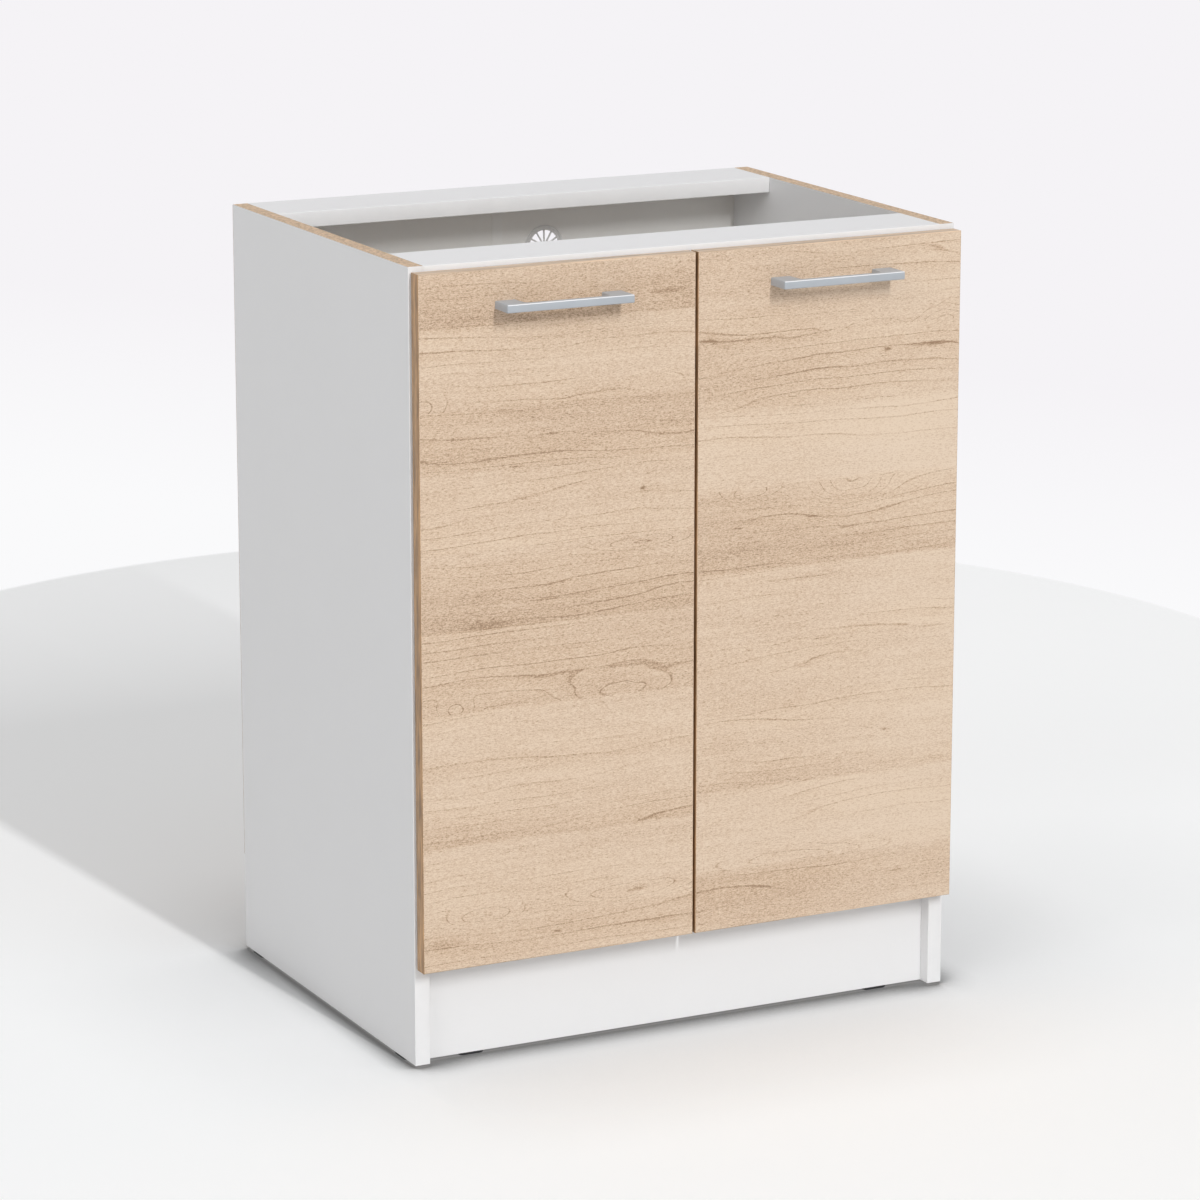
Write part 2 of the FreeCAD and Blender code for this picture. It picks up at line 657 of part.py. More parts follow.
def carcass_edge_bands():
    """White bands on the front edges of the carcass boards, the rails and the shelf."""
    reach = inner_side - size.shelf_play
    return together("carcass_edge_bands", [
        block("band_left", size.board, size.band, size.side_height, -outer_side, carcass_front, glide),
        block("band_right", size.board, size.band, size.side_height, inner_side, carcass_front, glide),
        block("band_floor", inner_width, size.band, size.board, -inner_side, carcass_front, plinth_top),
        block("band_rail", inner_width, size.band, size.board, -inner_side, carcass_front, rail_bottom),
        block("band_rear_rail", inner_width, size.band, size.board, -inner_side, rear_rail_front,
              rail_bottom),
        block("band_shelf", 2 * reach, size.band, size.board, -reach,
              carcass_front + size.shelf_setback, size.shelf_level)])


def back_panel(name, side):
    """Half of the hardboard back, from the joint strip to the carcass edge."""
    width = -back_left - back_middle
    start = back_middle if side == "right" else back_left
    blank = block(name + "_blank", width, size.back_thickness, back_top - back_bottom,
                  start, carcass_back, back_bottom)
    rear = carcass_back + size.back_thickness
    cutters = []
    for x, z in NAIL_SPOTS:
        place = -x if side == "right" else x
        cutters.append(cylinder(name + "_nail_hole", size.nail_radius + size.fit,
                                size.back_thickness + 2 * size.overrun,
                                place, carcass_back - size.overrun, z, BACK))
        cutters.append(drill(name + "_head_seat", size.nail_head_radius + size.fit,
                             size.nail_head_height, place, rear, z, "front"))
    if side == "right":
        cutters.append(drill(name + "_vent_hole", size.vent_collar_radius + size.fit,
                             size.back_thickness + size.overrun,
                             size.vent_offset, carcass_back, vent_level, "back"))
    return cut(name, blank, cutters)


def back_joint_strip():
    """H-section strip that holds the two halves of the back together."""
    half_strip = size.strip_width / 2
    half_web = size.strip_wall / 2
    inner = size.strip_wall
    outer = size.strip_wall + size.back_thickness + size.strip_seat
    points = [(-half_strip, 0), (half_strip, 0), (half_strip, inner), (half_web, inner),
              (half_web, outer), (half_strip, outer), (half_strip, outer + size.strip_wall),
              (-half_strip, outer + size.strip_wall), (-half_strip, outer), (-half_web, outer),
              (-half_web, inner), (-half_strip, inner)]
    strip = padded("back_joint_strip", points, back_top - back_bottom)
    put(strip, 0, carcass_back - size.strip_wall, back_bottom)
    low = floor_top - back_bottom + size.fit
    high = rail_bottom - back_bottom - size.fit
    notch(strip, size.strip_width + 2 * size.overrun, 2 * size.strip_wall, low)
    notch(strip, size.strip_width + 2 * size.overrun, 2 * size.strip_wall,
          back_top - rail_bottom + size.fit + size.overrun, 0, 0, high)
    return strip


def vent_rosette():
    """Round air vent: flange inside the cabinet, collar through the back, radial slots."""
    collar = size.back_thickness
    face = collar + size.vent_flange
    slant = size.vent_flange * FLANGE_SLANT_SHARE
    body = turned("vent_rosette", [
        (0, 0), (size.vent_collar_radius, 0), (size.vent_collar_radius, collar),
        (size.vent_flange_radius, collar), (size.vent_flange_radius, face - slant),
        (size.vent_flange_radius - slant, face), (size.vent_slot_outer + size.vent_rib, face),
        (size.vent_slot_inner - size.vent_rib, face + size.vent_crown), (0, face + size.vent_crown)])
    hollow = body.newObject("PartDesign::SubtractiveCylinder", "vent_hollow")
    bind(hollow, Radius=size.vent_collar_radius - size.vent_rib, Height=collar)
    document.recompute()
    half_rib = size.vent_rib / 2
    inner_half = size.vent_slot_inner * SLOT_TANGENT_SHARE - half_rib
    outer_half = size.vent_slot_outer * SLOT_TANGENT_SHARE * SLOT_SHOULDER_SHARE - half_rib
    shoulder = size.vent_slot_outer * SLOT_SHOULDER_SHARE
    pocket = body.newObject("PartDesign::Pocket", "vent_slot")
    pocket.Profile = outline(body, "XY_Plane", [
        (size.vent_slot_inner, -inner_half), (shoulder, -outer_half), (size.vent_slot_outer, 0),
        (shoulder, outer_half), (size.vent_slot_inner, inner_half)])
    pocket.Type = "ThroughAll"
    pocket.Reversed = True
    document.recompute()
    pattern = body.newObject("PartDesign::PolarPattern", "vent_slots")
    pattern.Originals = [pocket]
    pattern.Axis = (origin_feature(body, "Z_Axis"), [""])
    pattern.Occurrences = VENT_SLOTS
    body.Tip = pattern
    document.recompute()
    return put(body, size.vent_offset, carcass_back + collar, vent_level, FRONT_RIB_UP)


def cam_bolt_master():
    start = size.cam_setback - size.cam_radius - size.fit
    head_low = size.cam_setback - size.bolt_head_height / 2
    head_high = size.cam_setback + size.bolt_head_height / 2
    return turned("cam_bolt_master", [
        (0, -size.bolt_thread_length), (size.bolt_thread_radius, -size.bolt_thread_length),
        (size.bolt_thread_radius, 0), (size.bolt_collar_radius, 0),
        (size.bolt_collar_radius, size.bolt_collar_height),
        (size.bolt_shaft_radius, size.bolt_collar_height), (size.bolt_shaft_radius, start),
        (size.bolt_neck_radius, start), (size.bolt_neck_radius, head_low),
        (size.bolt_head_radius, head_low), (size.bolt_head_radius, head_high), (0, head_high)])


def cam_master():
    """Cam disc: its own Z points out of the board, the bolt comes in along its X."""
    body = turned("cam_master", [(0, 0), (size.cam_radius, 0), (size.cam_radius, size.cam_height),
                                 (0, size.cam_height)])
    axis_level = size.cam_height - half_board
    neck = 2 * (size.bolt_neck_radius + size.fit)
    head = 2 * (size.bolt_head_radius + size.fit)
    notch(body, 2 * (size.cam_radius + size.overrun), neck, axis_level + neck / 2 + size.overrun,
          0, 0, -size.overrun)
    notch(body, 2 * size.bolt_head_height, head, axis_level + head / 2 + size.overrun,
          0, 0, -size.overrun)
    cross_level = size.cam_height - size.cam_recess_depth
    notch(body, size.cam_radius, size.cam_recess_width, size.cam_recess_depth + size.overrun,
          0, 0, cross_level)
    notch(body, size.cam_recess_width, size.cam_radius, size.cam_recess_depth + size.overrun,
          0, 0, cross_level)
    return body


def dowel_master():
    inner = size.dowel_radius - size.dowel_chamfer
    return turned("dowel_master", [
        (0, 0), (inner, 0), (size.dowel_radius, size.dowel_chamfer),
        (size.dowel_radius, size.dowel_length - size.dowel_chamfer), (inner, size.dowel_length),
        (0, size.dowel_length)])


def corner_fittings():
    """Bolts, cams and dowels at both ends of every board between the side panels."""
    bolts, cams, dowels = [], [], []
    seat = inner_side + size.dowel_seat
    cam_x = inner_side - size.cam_setback
    for fittings in FITTINGS.values():
        for y, z, opening in fittings["cams"]:
            bolts += [(-inner_side, y, z, RIGHT), (inner_side, y, z, LEFT)]
            rise = size.cam_height - half_board
            deep_y = y - rise if opening == "back" else y
            deep_z = z + rise if opening == "down" else z
            cams += [(-cam_x, deep_y, deep_z, FORWARDS[opening]), (cam_x, deep_y, deep_z, FORWARDS[opening])]
        for y, z in fittings["dowels"]:
            dowels += [(-seat, y, z, RIGHT), (seat, y, z, LEFT)]
    return [copies("cam_bolts", cam_bolt_master(), bolts), copies("cam_locks", cam_master(), cams),
            copies("wooden_dowels", dowel_master(), dowels)]


def back_panel_nails():
    master = turned("nail_master", [
        (0, 0), (size.nail_head_radius, 0), (size.nail_head_radius, size.nail_head_height),
        (size.nail_radius, size.nail_head_height),
        (size.nail_radius, size.nail_length - 2 * size.nail_radius), (0, size.nail_length)])
    rear = carcass_back + size.back_thickness
    spots = []
    for x, z in NAIL_SPOTS:
        spots += [(x, rear, z, FRONT), (-x, rear, z, FRONT)]
    return copies("back_panel_nails", master, spots)


def shelf_pins():
    """Pins with a collar and a flat tongue that carries the shelf."""
    collar_end = size.pin_collar
    body = turned("pin_master", [
        (0, -size.pin_depth), (size.pin_radius, -size.pin_depth), (size.pin_radius, 0),
        (size.pin_collar_radius, 0), (size.pin_collar_radius, collar_end), (0, collar_end)])
    tongue = body.newObject("PartDesign::AdditiveBox", "pin_tongue")
    bind(tongue, Length=size.pin_tongue_height, Width=size.pin_tongue_width, Height=size.pin_tongue)
    put(tongue, -size.pin_tongue_height / 2, -size.pin_tongue_width / 2, 0)
    document.recompute()
    spots = []
    for y in (pin_row_front, pin_row_back):
        spots += [(-inner_side, y, pin_level, RIGHT), (inner_side, y, pin_level, LEFT)]
    return copies("shelf_pins", body, spots)


def floor_glides():
    """Flat plastic glides, each held by one nail through its middle."""
    half_length, half_width = size.glide_length / 2, size.glide_width / 2
    body = padded("glide_master", [(-half_length, -half_width), (half_length, -half_width),
                                   (half_length, half_width), (-half_length, half_width)],
                  size.glide_height)
    soften(body, "Fillet", size.glide_corner, upright)
    soften(body, "Chamfer", size.glide_bevel, lambda edge: level(edge, 0))
    bore(body, size.tack_radius + size.fit, size.glide_height)
    bore(body, size.tack_head_radius + size.fit, tack_base)
    return copies("floor_glides", body, GLIDE_SPOTS)


def glide_nails():
    master = turned("tack_master", [
        (0, 0), (size.tack_head_radius, 0), (size.tack_head_radius, size.tack_head_height),
        (size.tack_radius, size.tack_head_height),
        (size.tack_radius, size.tack_length - 2 * size.tack_radius), (0, size.tack_length)])
    return copies("glide_nails", master, [(x, y, size.tack_sink, UP) for x, y, _, _ in GLIDE_SPOTS])


def door_panel():
    """Left door board inside its edge bands, bored for the hinge cups and the handle screws."""
    name = "door_panel_left"
    blank = block(name + "_blank", door_width - 2 * size.band, size.board,
                  door_height - 2 * size.band, door_edge + size.band, door_front,
                  door_bottom + size.band)
    cutters = []
    for hinge_level in HINGE_LEVELS.values():
        cutters.append(drill(name + "_cup_hole", size.cup_radius + size.fit,
                             size.cup_depth + size.fit, cup_center_x, door_back, hinge_level, "front"))
        for sign in (-1, 1):
            cutters.append(drill(name + "_cup_screw_hole", size.cup_screw_radius + size.fit,
                                 size.cup_screw_length + size.fit,
                                 cup_center_x + size.cup_screw_shift, door_back,
                                 hinge_level + sign * size.cup_screw_pitch / 2, "front"))
    for sign in (-1, 1):
        cutters.append(drill(name + "_handle_hole", size.screw_radius + size.fit,
                             size.board + size.overrun, handle_x + sign * screw_spread,
                             door_back, handle_level, "front"))
    return cut(name, blank, cutters)


def door_edge_bands():
    """Four bands round the left door: two upright over the full height, two between them."""
    name = "door_edge_bands_left"
    inner = door_width - 2 * size.band
    far = door_edge + door_width - size.band
    return together(name, [
        block(name + "_hinge_side", size.band, size.board, door_height,
              door_edge, door_front, door_bottom),
        block(name + "_middle_side", size.band, size.board, door_height,
              far, door_front, door_bottom),
        block(name + "_low", inner, size.board, size.band,
              door_edge + size.band, door_front, door_bottom),
        block(name + "_high", inner, size.board, size.band,
              door_edge + size.band, door_front, door_top - size.band)])


def door_bumpers():
    """Two soft bumpers that meet the rail and the bottom panel when the door shuts."""
    name = "door_bumpers_left"
    return together(name, [
        cylinder(name + "_" + place, size.bumper_radius, size.door_gap - size.bumper_play,
                 bumper_x, door_back, level, BACK)
        for place, level in (("upper", upper_bumper), ("lower", floor_middle))])


def handle():
    """Bow handle of the left door, one cast bar with two flared legs."""
    half = size.handle_length / 2
    foot = half - size.handle_foot
    root = foot - size.handle_flare
    inner_face = size.handle_bar - size.handle_reach
    body = padded("handle_left", [
        (-half, 0), (-foot, 0), (-root, inner_face), (root, inner_face), (foot, 0), (half, 0),
        (half, -size.handle_reach), (-half, -size.handle_reach)], size.handle_height)

    def inner_corner(edge):
        return upright(edge) and abs(edge.Vertexes[0].Y - inner_face.number) < TOUCH

    def front_edge(edge):
        return all(abs(vertex.Y + size.handle_reach.number) < TOUCH for vertex in edge.Vertexes)

    soften(body, "Fillet", size.handle_inner_round, inner_corner)
    soften(body, "Fillet", size.handle_edge_round, front_edge)
    for sign in (-1, 1):
        bore(body, size.screw_radius + size.fit, size.screw_grip + size.fit,
             sign * screw_spread, 0, size.handle_height / 2, FRONT)
    return put(body, handle_x, door_front, handle_level - size.handle_height / 2)


def handle_screws():
    """Pan head screws from behind the left door into the handle's legs."""
    crown = size.screw_head_radius * SCREW_CROWN_SHARE
    body = turned("handle_screw_master", [
        (0, -size.screw_head_height), (crown, -size.screw_head_height),
        (size.screw_head_radius, -size.screw_head_height * SCREW_CROWN_SHARE),
        (size.screw_head_radius, 0), (size.screw_radius, 0),
        (size.screw_radius, size.board + size.screw_grip), (0, size.board + size.screw_grip)])
    cross_recess(body, size.screw_head_radius, size.screw_recess_width, size.screw_recess_depth,
                 size.screw_head_height)
    spots = [(handle_x + sign * screw_spread, door_back, handle_level, FRONT) for sign in (-1, 1)]
    return copies("handle_screws_left", body, spots)


def cross_recess(body, reach, width, depth, head_height):
    """Cross-shaped driver recess in a head that ends at -head_height."""
    start = -head_height - size.overrun
    notch(body, reach, width, depth + size.overrun, 0, 0, start)
    notch(body, width, reach, depth + size.overrun, 0, 0, start)


# Concealed hinges. Their places are seen from above: pins at (x, y), layers as heights above
# and below the hinge centre. Both links swing between the arm's pins and the cup's pins.
lug_low = named("lug_low", size.short_link_half + size.layer_gap)
lug_high = named("lug_high", lug_low + size.layer)
ear_low = named("ear_low", lug_high + size.layer_gap)
ear_high = named("ear_high", ear_low + size.layer)
cheek_low = named("cheek_low", ear_high + size.layer_gap)
short_arm = (named("short_arm_place_x", size.short_arm_x - inner_side),
             named("short_arm_place_y", carcass_front + size.short_arm_y))
long_arm = (named("long_arm_place_x", size.long_arm_x - inner_side),
            named("long_arm_place_y", carcass_front + size.long_arm_y))
short_cup = (named("short_cup_place_x", cup_center_x - size.short_cup_x),
             named("short_cup_place_y", door_back - size.short_cup_y))
long_cup = (named("long_cup_place_x", cup_center_x - size.long_cup_x),
            named("long_cup_place_y", door_back - size.long_cup_y))
open_eye = (named("open_eye_place_x", long_cup[0] + size.long_eye_shift), long_cup[1])
plate_face = named("plate_face", size.plate_base - inner_side)
crown_face = named("crown_face", size.arm_crown - inner_side)
crown_top = named("crown_top", crown_face + size.arm_wall)
arm_rear = named("arm_rear", carcass_front + size.arm_back)
fixing_y = named("fixing_y", carcass_front + size.fixing_screw_y)
adjuster_y = named("adjuster_place_y", carcass_front + size.adjuster_y)
cup_screw_x = named("cup_screw_x", cup_center_x + size.cup_screw_shift)


def between(start, end, along, aside):
    """Point at a share of the way from start to end, and a share of it to the left."""
    run_x = end[0] - start[0]
    run_y = end[1] - start[1]
    return (start[0] + along * run_x - aside * run_y, start[1] + along * run_y + aside * run_x)


def bar(name, start, end, half_width, bottom, height):
    """Flat bar from one point to another, seen from above, with square ends."""
    run_x = end[0] - start[0]
    run_y = end[1] - start[1]
    turn = angle_of(run_y, run_x)
    piece = block(name, root_of(run_x * run_x + run_y * run_y), 2 * half_width, height,
                  start[0] + half_width * sine(turn), start[1] - half_width * cosine(turn), bottom)
    piece.setExpression("Placement.Rotation.Angle", turn.formula)
    return piece


def strap(name, points, half_width, bottom, height):
    """Bars along a chain of points, with rounded bends."""
    pieces = [bar(name + "_bar", start, end, half_width, bottom, height)
              for start, end in zip(points, points[1:])]
    pieces += [cylinder(name + "_bend", half_width, height, x, y, bottom) for x, y in points[1:-1]]
    return pieces


def both_layers(center, low, high):
    """Bottom levels of the layer above and the layer below the hinge centre."""
    return (center + low, center - high)


def pin_holes(name, spots, radius, center):
    """Cutters for pin bores right through a hinge piece."""
    return [cylinder(name + "_pin_hole", radius, 2 * (size.arm_half + size.overrun), x, y,
                     center - size.arm_half - size.overrun) for x, y in spots]


def mounting_plate(name, center):
    """Cross plate screwed to the side panel, with the bridge that the arm sits on."""
    half_wing = size.plate_screw_pitch / 2 + size.plate_wing_margin
    bridge_front = carcass_front + size.plate_bridge_front
    height = crown_face - plate_face
    pieces = [
        block(name + "_wing", size.plate_base, size.plate_wing_width, 2 * half_wing, -inner_side,
              plate_screw_y - size.plate_wing_width / 2, center - half_wing),
        block(name + "_foot", size.plate_base, arm_rear - bridge_front, 2 * size.arm_half, -inner_side,
              bridge_front, center - size.arm_half),
        block(name + "_bridge", height, arm_rear - bridge_front, 2 * size.plate_bridge_half, plate_face,
              bridge_front, center - size.plate_bridge_half)]
    cutters = [cylinder(name + "_screw_hole", size.plate_screw_radius + size.fit,
                        size.plate_base + 2 * size.overrun, -inner_side - size.overrun, plate_screw_y,
                        center + sign * size.plate_screw_pitch / 2, RIGHT) for sign in (-1, 1)]
    cutters.append(drill(name + "_fixing_hole", size.arm_screw_radius + size.fit,
                         size.arm_screw_grip + size.fit, crown_face, fixing_y, center, "left"))
    return cut(name, fuse(name + "_blank", pieces), cutters)


def hinge_arm(name, center):
    """Channel over the bridge; its cheeks hold the long link, its inner lugs the short link."""
    front = long_arm[1] - size.arm_nose
    cheek_bottom = size.arm_lift - inner_side
    cheek_points = [
        (crown_top, arm_rear), (crown_top, front), (long_arm[0] - size.arm_nose, front),
        (cheek_bottom, front + size.arm_taper), (cheek_bottom, arm_rear)]
    cheek_height = size.arm_half - cheek_low
    pieces = [block(name + "_web", size.arm_wall, arm_rear - carcass_front - size.arm_web_front,
                    2 * size.arm_half, crown_face, carcass_front + size.arm_web_front,
                    center - size.arm_half)]
    for bottom in both_layers(center, cheek_low, size.arm_half):
        cheek = padded(name + "_cheek", cheek_points, cheek_height)
        pieces.append(put(cheek, 0, 0, bottom))
    bend = (short_arm[0], short_arm[1] + size.lug_turn)
    for bottom in both_layers(center, lug_low, lug_high):
        pieces += strap(name + "_lug", [short_arm, bend, (crown_top, bend[1])], size.lug_half,
                        bottom, size.layer)
        pieces.append(cylinder(name + "_lug_eye", size.lug_half, size.layer, *short_arm, bottom))
    slot_reach = size.arm_screw_radius + size.fit
    cutters = pin_holes(name, [short_arm, long_arm], size.link_pin_radius + size.link_play, center)
    cutters += [
        cylinder(name + "_slot_end", slot_reach, 2 * size.overrun, crown_face - size.overrun,
                 fixing_y + shift, center, RIGHT) for shift in (-size.arm_slot / 2, size.arm_slot / 2)]
    cutters.append(block(name + "_slot", 2 * size.overrun, size.arm_slot, 2 * slot_reach,
                         crown_face - size.overrun, fixing_y - size.arm_slot / 2, center - slot_reach))
    cutters.append(cylinder(name + "_adjuster_hole", slot_reach, 2 * size.overrun,
                            crown_face - size.overrun, adjuster_y, center, RIGHT))
    return cut(name, fuse(name + "_blank", pieces), cutters)


def short_link(name, center):
    """Solid bent link in the middle layer, from the arm's inner lugs to the cup's inner lugs."""
    bends = [between(short_arm, short_cup, *share) for share in SHORT_LINK_BEND_SHARES]
    height = 2 * size.short_link_half
    bottom = center - size.short_link_half
    pieces = strap(name, [short_arm, *bends, short_cup], size.link_half, bottom, height)
    pieces += [cylinder(name + "_eye", size.link_eye, height, x, y, bottom) for x, y in (short_arm, short_cup)]
    return cut(name, fuse(name + "_blank", pieces),
               pin_holes(name, [short_arm, short_cup], size.link_pin_radius + size.link_play, center))


def long_link(name, center):
    """Two bent ears on one barrel; the eye over the cup's pin is open by its named play."""
    bends = [between(long_arm, open_eye, *share) for share in LONG_LINK_BEND_SHARES]
    pieces = [cylinder(name + "_barrel", size.link_eye, 2 * ear_high, *long_arm, center - ear_high)]
    for bottom in both_layers(center, ear_low, ear_high):
        pieces += strap(name, [long_arm, *bends, open_eye], size.link_half, bottom, size.layer)
        pieces.append(cylinder(name + "_eye", size.open_eye, size.layer, *open_eye, bottom))
    holes = pin_holes(name, [long_arm], size.link_pin_radius + size.link_play, center)
    holes += pin_holes(name, [open_eye], size.link_pin_radius + size.long_eye_play, center)
    return cut(name, fuse(name + "_blank", pieces), holes)


def hinge_cup(name, center):
    """Cup with its flange, wings and the lugs that carry the cup pins."""
    rim = size.cup_radius + size.cup_flange_rim
    half_wing = size.cup_screw_pitch / 2 + size.cup_wing_margin
    shell = turned(name + "_shell", [
        (0, -size.cup_depth), (size.cup_radius, -size.cup_depth), (size.cup_radius, 0), (rim, 0),
        (rim, size.cup_flange), (0, size.cup_flange)])
    put(shell, cup_center_x, door_back, center, BACK)
    wings = block(name + "_wings", size.cup_wing_width, size.cup_flange, 2 * half_wing,
                  cup_screw_x - size.cup_wing_width / 2, door_back, center - half_wing)
    cutters = [drill(name + "_hollow", size.cup_radius - size.cup_wall,
                     size.cup_depth - size.cup_wall, cup_center_x, door_back, center, "front")]
    cutters += [cylinder(name + "_screw_hole", size.cup_screw_radius + size.fit, 2 * size.overrun,
                         cup_screw_x, door_back - size.overrun, center + sign * size.cup_screw_pitch / 2,
                         BACK) for sign in (-1, 1)]
    cutters.append(block(name + "_rim_notch", size.cup_radius, size.overrun, 2 * cheek_low,
                         cup_center_x - rim - size.overrun, door_back, center - cheek_low))
    hollow_cup = cut(name + "_bowl", fuse(name + "_solid", [shell, wings]), cutters)
    lug_end = long_cup[0] + size.open_eye - cup_center_x + size.cup_radius
    lugs = []
    for low, high in ((lug_low, lug_high), (cheek_low, size.arm_half)):
        for bottom in both_layers(center, low, high):
            lugs.append(block(name + "_lug", lug_end, size.cup_depth - size.link_play, high - low,
                              cup_center_x - size.cup_radius, door_back - size.cup_depth, bottom))
    trim = document.addObject("Part::Common", name + "_lugs")
    trim.Base = together(name + "_lug_blanks", lugs)
    trim.Tool = cylinder(name + "_trim", size.cup_radius - size.link_play, size.cup_depth,
                         cup_center_x, door_back, center, FRONT)
    bored = cut(name + "_bored_lugs", trim,
                pin_holes(name, [short_cup, long_cup], size.link_pin_radius, center))
    return fuse(name, [hollow_cup, bored])


def hinge_pins():
    """Arm pins and cup pins of both left hinges."""
    arm_pins, cup_pins = [], []
    for center in HINGE_LEVELS.values():
        arm_pins.append(cylinder("arm_pin", size.link_pin_radius, 2 * lug_high, *short_arm,
                                 center - lug_high))
        arm_pins.append(cylinder("arm_pin", size.link_pin_radius, 2 * size.arm_half, *long_arm,
                                 center - size.arm_half))
        cup_pins.append(cylinder("cup_pin", size.link_pin_radius, 2 * lug_high, *short_cup,
                                 center - lug_high))
        for bottom in both_layers(center, lug_low, size.arm_half):
            cup_pins.append(cylinder("cup_stud", size.link_pin_radius, size.arm_half - lug_low,
                                     *long_cup, bottom))
    return [together("arm_pins_left", arm_pins), together("cup_pins_left", cup_pins)]


def hinge_screws():
    """Screws of both left hinges: plate to side panel, cup to door, arm to plate."""
    plate_master = screw_master("plate_screw_master", size.plate_screw_radius,
                                size.plate_base + size.plate_screw_grip, size.plate_screw_head_radius,
                                size.plate_screw_head_height)
    cup_master = screw_master("cup_screw_master", size.cup_screw_radius,
                              size.cup_flange + size.cup_screw_length - size.fit,
                              size.cup_screw_head_radius, size.cup_screw_head_height)
    arm_master = screw_master("arm_screw_master", size.arm_screw_radius,
                              size.arm_wall + size.arm_screw_grip, size.arm_screw_head_radius,
                              size.arm_screw_head_height)
    adjuster_master = screw_master("adjuster_master", size.arm_screw_radius, size.arm_wall,
                                   size.arm_screw_radius, size.arm_screw_head_height)
    plate_spots, cup_spots, arm_spots, adjuster_spots = [], [], [], []
    for center in HINGE_LEVELS.values():
        for sign in (-1, 1):
            plate_spots.append((plate_face, plate_screw_y,
                                center + sign * size.plate_screw_pitch / 2, LEFT))
            cup_spots.append((cup_screw_x, door_back + size.cup_flange,
                              center + sign * size.cup_screw_pitch / 2, FRONT))
        arm_spots.append((crown_top, fixing_y, center, LEFT))
        adjuster_spots.append((crown_top, adjuster_y, center, LEFT))
    arm_screws = [copies("fixing_screws", arm_master, arm_spots),
                  copies("adjusters", adjuster_master, adjuster_spots)]
    return [copies("plate_screws_left", plate_master, plate_spots),
            copies("cup_screws_left", cup_master, cup_spots),
            together("arm_screws_left", arm_screws)]


def screw_master(name, radius, length, head_radius, head_height):
    """Pan head screw: head below its own zero, shank along +Z."""
    crown = head_radius * SCREW_CROWN_SHARE
    points = [(0, -head_height), (crown, -head_height), (head_radius, -head_height * SCREW_CROWN_SHARE),
              (head_radius, 0)]
    if head_radius is not radius:
        points.append((radius, 0))
    body = turned(name, points + [(radius, length), (0, length)])
    cross_recess(body, head_radius, size.screw_recess_width, size.screw_recess_depth, head_height)
    return body


def hinges():
    """Pieces of both left hinges, then the screws and pins that they share a node for."""
    pieces = []
    for level_name, center in HINGE_LEVELS.items():
        for make in (mounting_plate, hinge_arm, short_link, long_link, hinge_cup):
            pieces.append(make(make.__name__ + "_left_" + level_name, center))
    return pieces + hinge_pins() + hinge_screws()


def front_half_left():
    """Everything that the right side of the cabinet repeats as a mirror image."""
    return [side_panel(), door_panel(), door_edge_bands(), door_bumpers(), handle(),
            handle_screws()] + hinges()


def build():
    """Make every piece and return the ones that are nodes of the part."""
    nodes = [
        floor_board("bottom_panel", board_front, carcass_back, plinth_top,
                    cross_nail_cutters("bottom_panel", floor_middle)),
        floor_board("top_rail_front", board_front, carcass_front + size.rail_depth, rail_bottom),
        floor_board("top_rail_rear", rear_rail_front + size.band, carcass_back, rail_bottom,
                    cross_nail_cutters("top_rail_rear", rail_middle)),
        plinth_board(), shelf(), carcass_edge_bands(), back_panel("back_panel_left", "left"),
        back_panel("back_panel_right", "right"), back_joint_strip(), vent_rosette(),
        back_panel_nails(), shelf_pins(), floor_glides(), glide_nails()]
    nodes += corner_fittings()
    for piece in front_half_left():
        nodes.append(piece)
        nodes.append(mirrored(piece.Label.replace("_left", "_right"), piece))
    return nodes


def check_document():
    """Stop if any object failed or any node has no valid shape."""
    for thing in document.Objects:
        if "Invalid" in thing.State or "Error" in thing.State:
            raise RuntimeError("failed object: " + thing.Label + " " + str(thing.State))
    for node in NODES:
        if node.Shape.isNull() or not node.Shape.isValid() or not node.Shape.Solids:
            raise RuntimeError("bad shape: " + node.Label)


NODES = build()
document.recompute()
check_document()
for node in NODES:
    node.Shape.exportStep(os.path.join("parts", node.Label + ".step"))
print(len(NODES), "nodes,", sum(len(node.Shape.Solids) for node in NODES), "solids")
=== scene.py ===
import math

import bmesh
import bpy
from mathutils import Matrix, Vector


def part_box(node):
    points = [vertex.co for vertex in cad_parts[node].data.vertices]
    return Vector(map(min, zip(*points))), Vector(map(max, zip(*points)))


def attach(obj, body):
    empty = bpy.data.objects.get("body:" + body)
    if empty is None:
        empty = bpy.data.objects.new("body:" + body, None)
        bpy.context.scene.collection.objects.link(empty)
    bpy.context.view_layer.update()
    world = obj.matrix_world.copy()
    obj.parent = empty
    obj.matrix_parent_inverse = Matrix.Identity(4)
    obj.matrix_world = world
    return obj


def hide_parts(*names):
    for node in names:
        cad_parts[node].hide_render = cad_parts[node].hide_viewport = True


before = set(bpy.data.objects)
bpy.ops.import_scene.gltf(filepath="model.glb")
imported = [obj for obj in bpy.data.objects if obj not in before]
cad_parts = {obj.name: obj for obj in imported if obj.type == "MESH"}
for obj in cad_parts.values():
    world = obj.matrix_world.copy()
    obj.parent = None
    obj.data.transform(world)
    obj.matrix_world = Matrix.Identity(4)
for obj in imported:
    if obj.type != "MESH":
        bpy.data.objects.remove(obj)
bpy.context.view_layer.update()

# Kitchen base cabinet: white melamine carcass, two beech doors, bow handles, concealed hinges.

bl_info = {
    "name": "Kitchen Base Cabinet",
    "version": (1, 0, 0),
    "blender": (4, 5, 0),
    "location": "View3D > Sidebar > Cabinet",
    "description": "Finishes a two-door kitchen base cabinet and its pale studio stage",
    "category": "Object",
}

SIDES = ("left", "right")
LEVELS = ("upper", "lower")
FINISH_SUFFIX = "_finish"
MM_PER_METRE = 1000

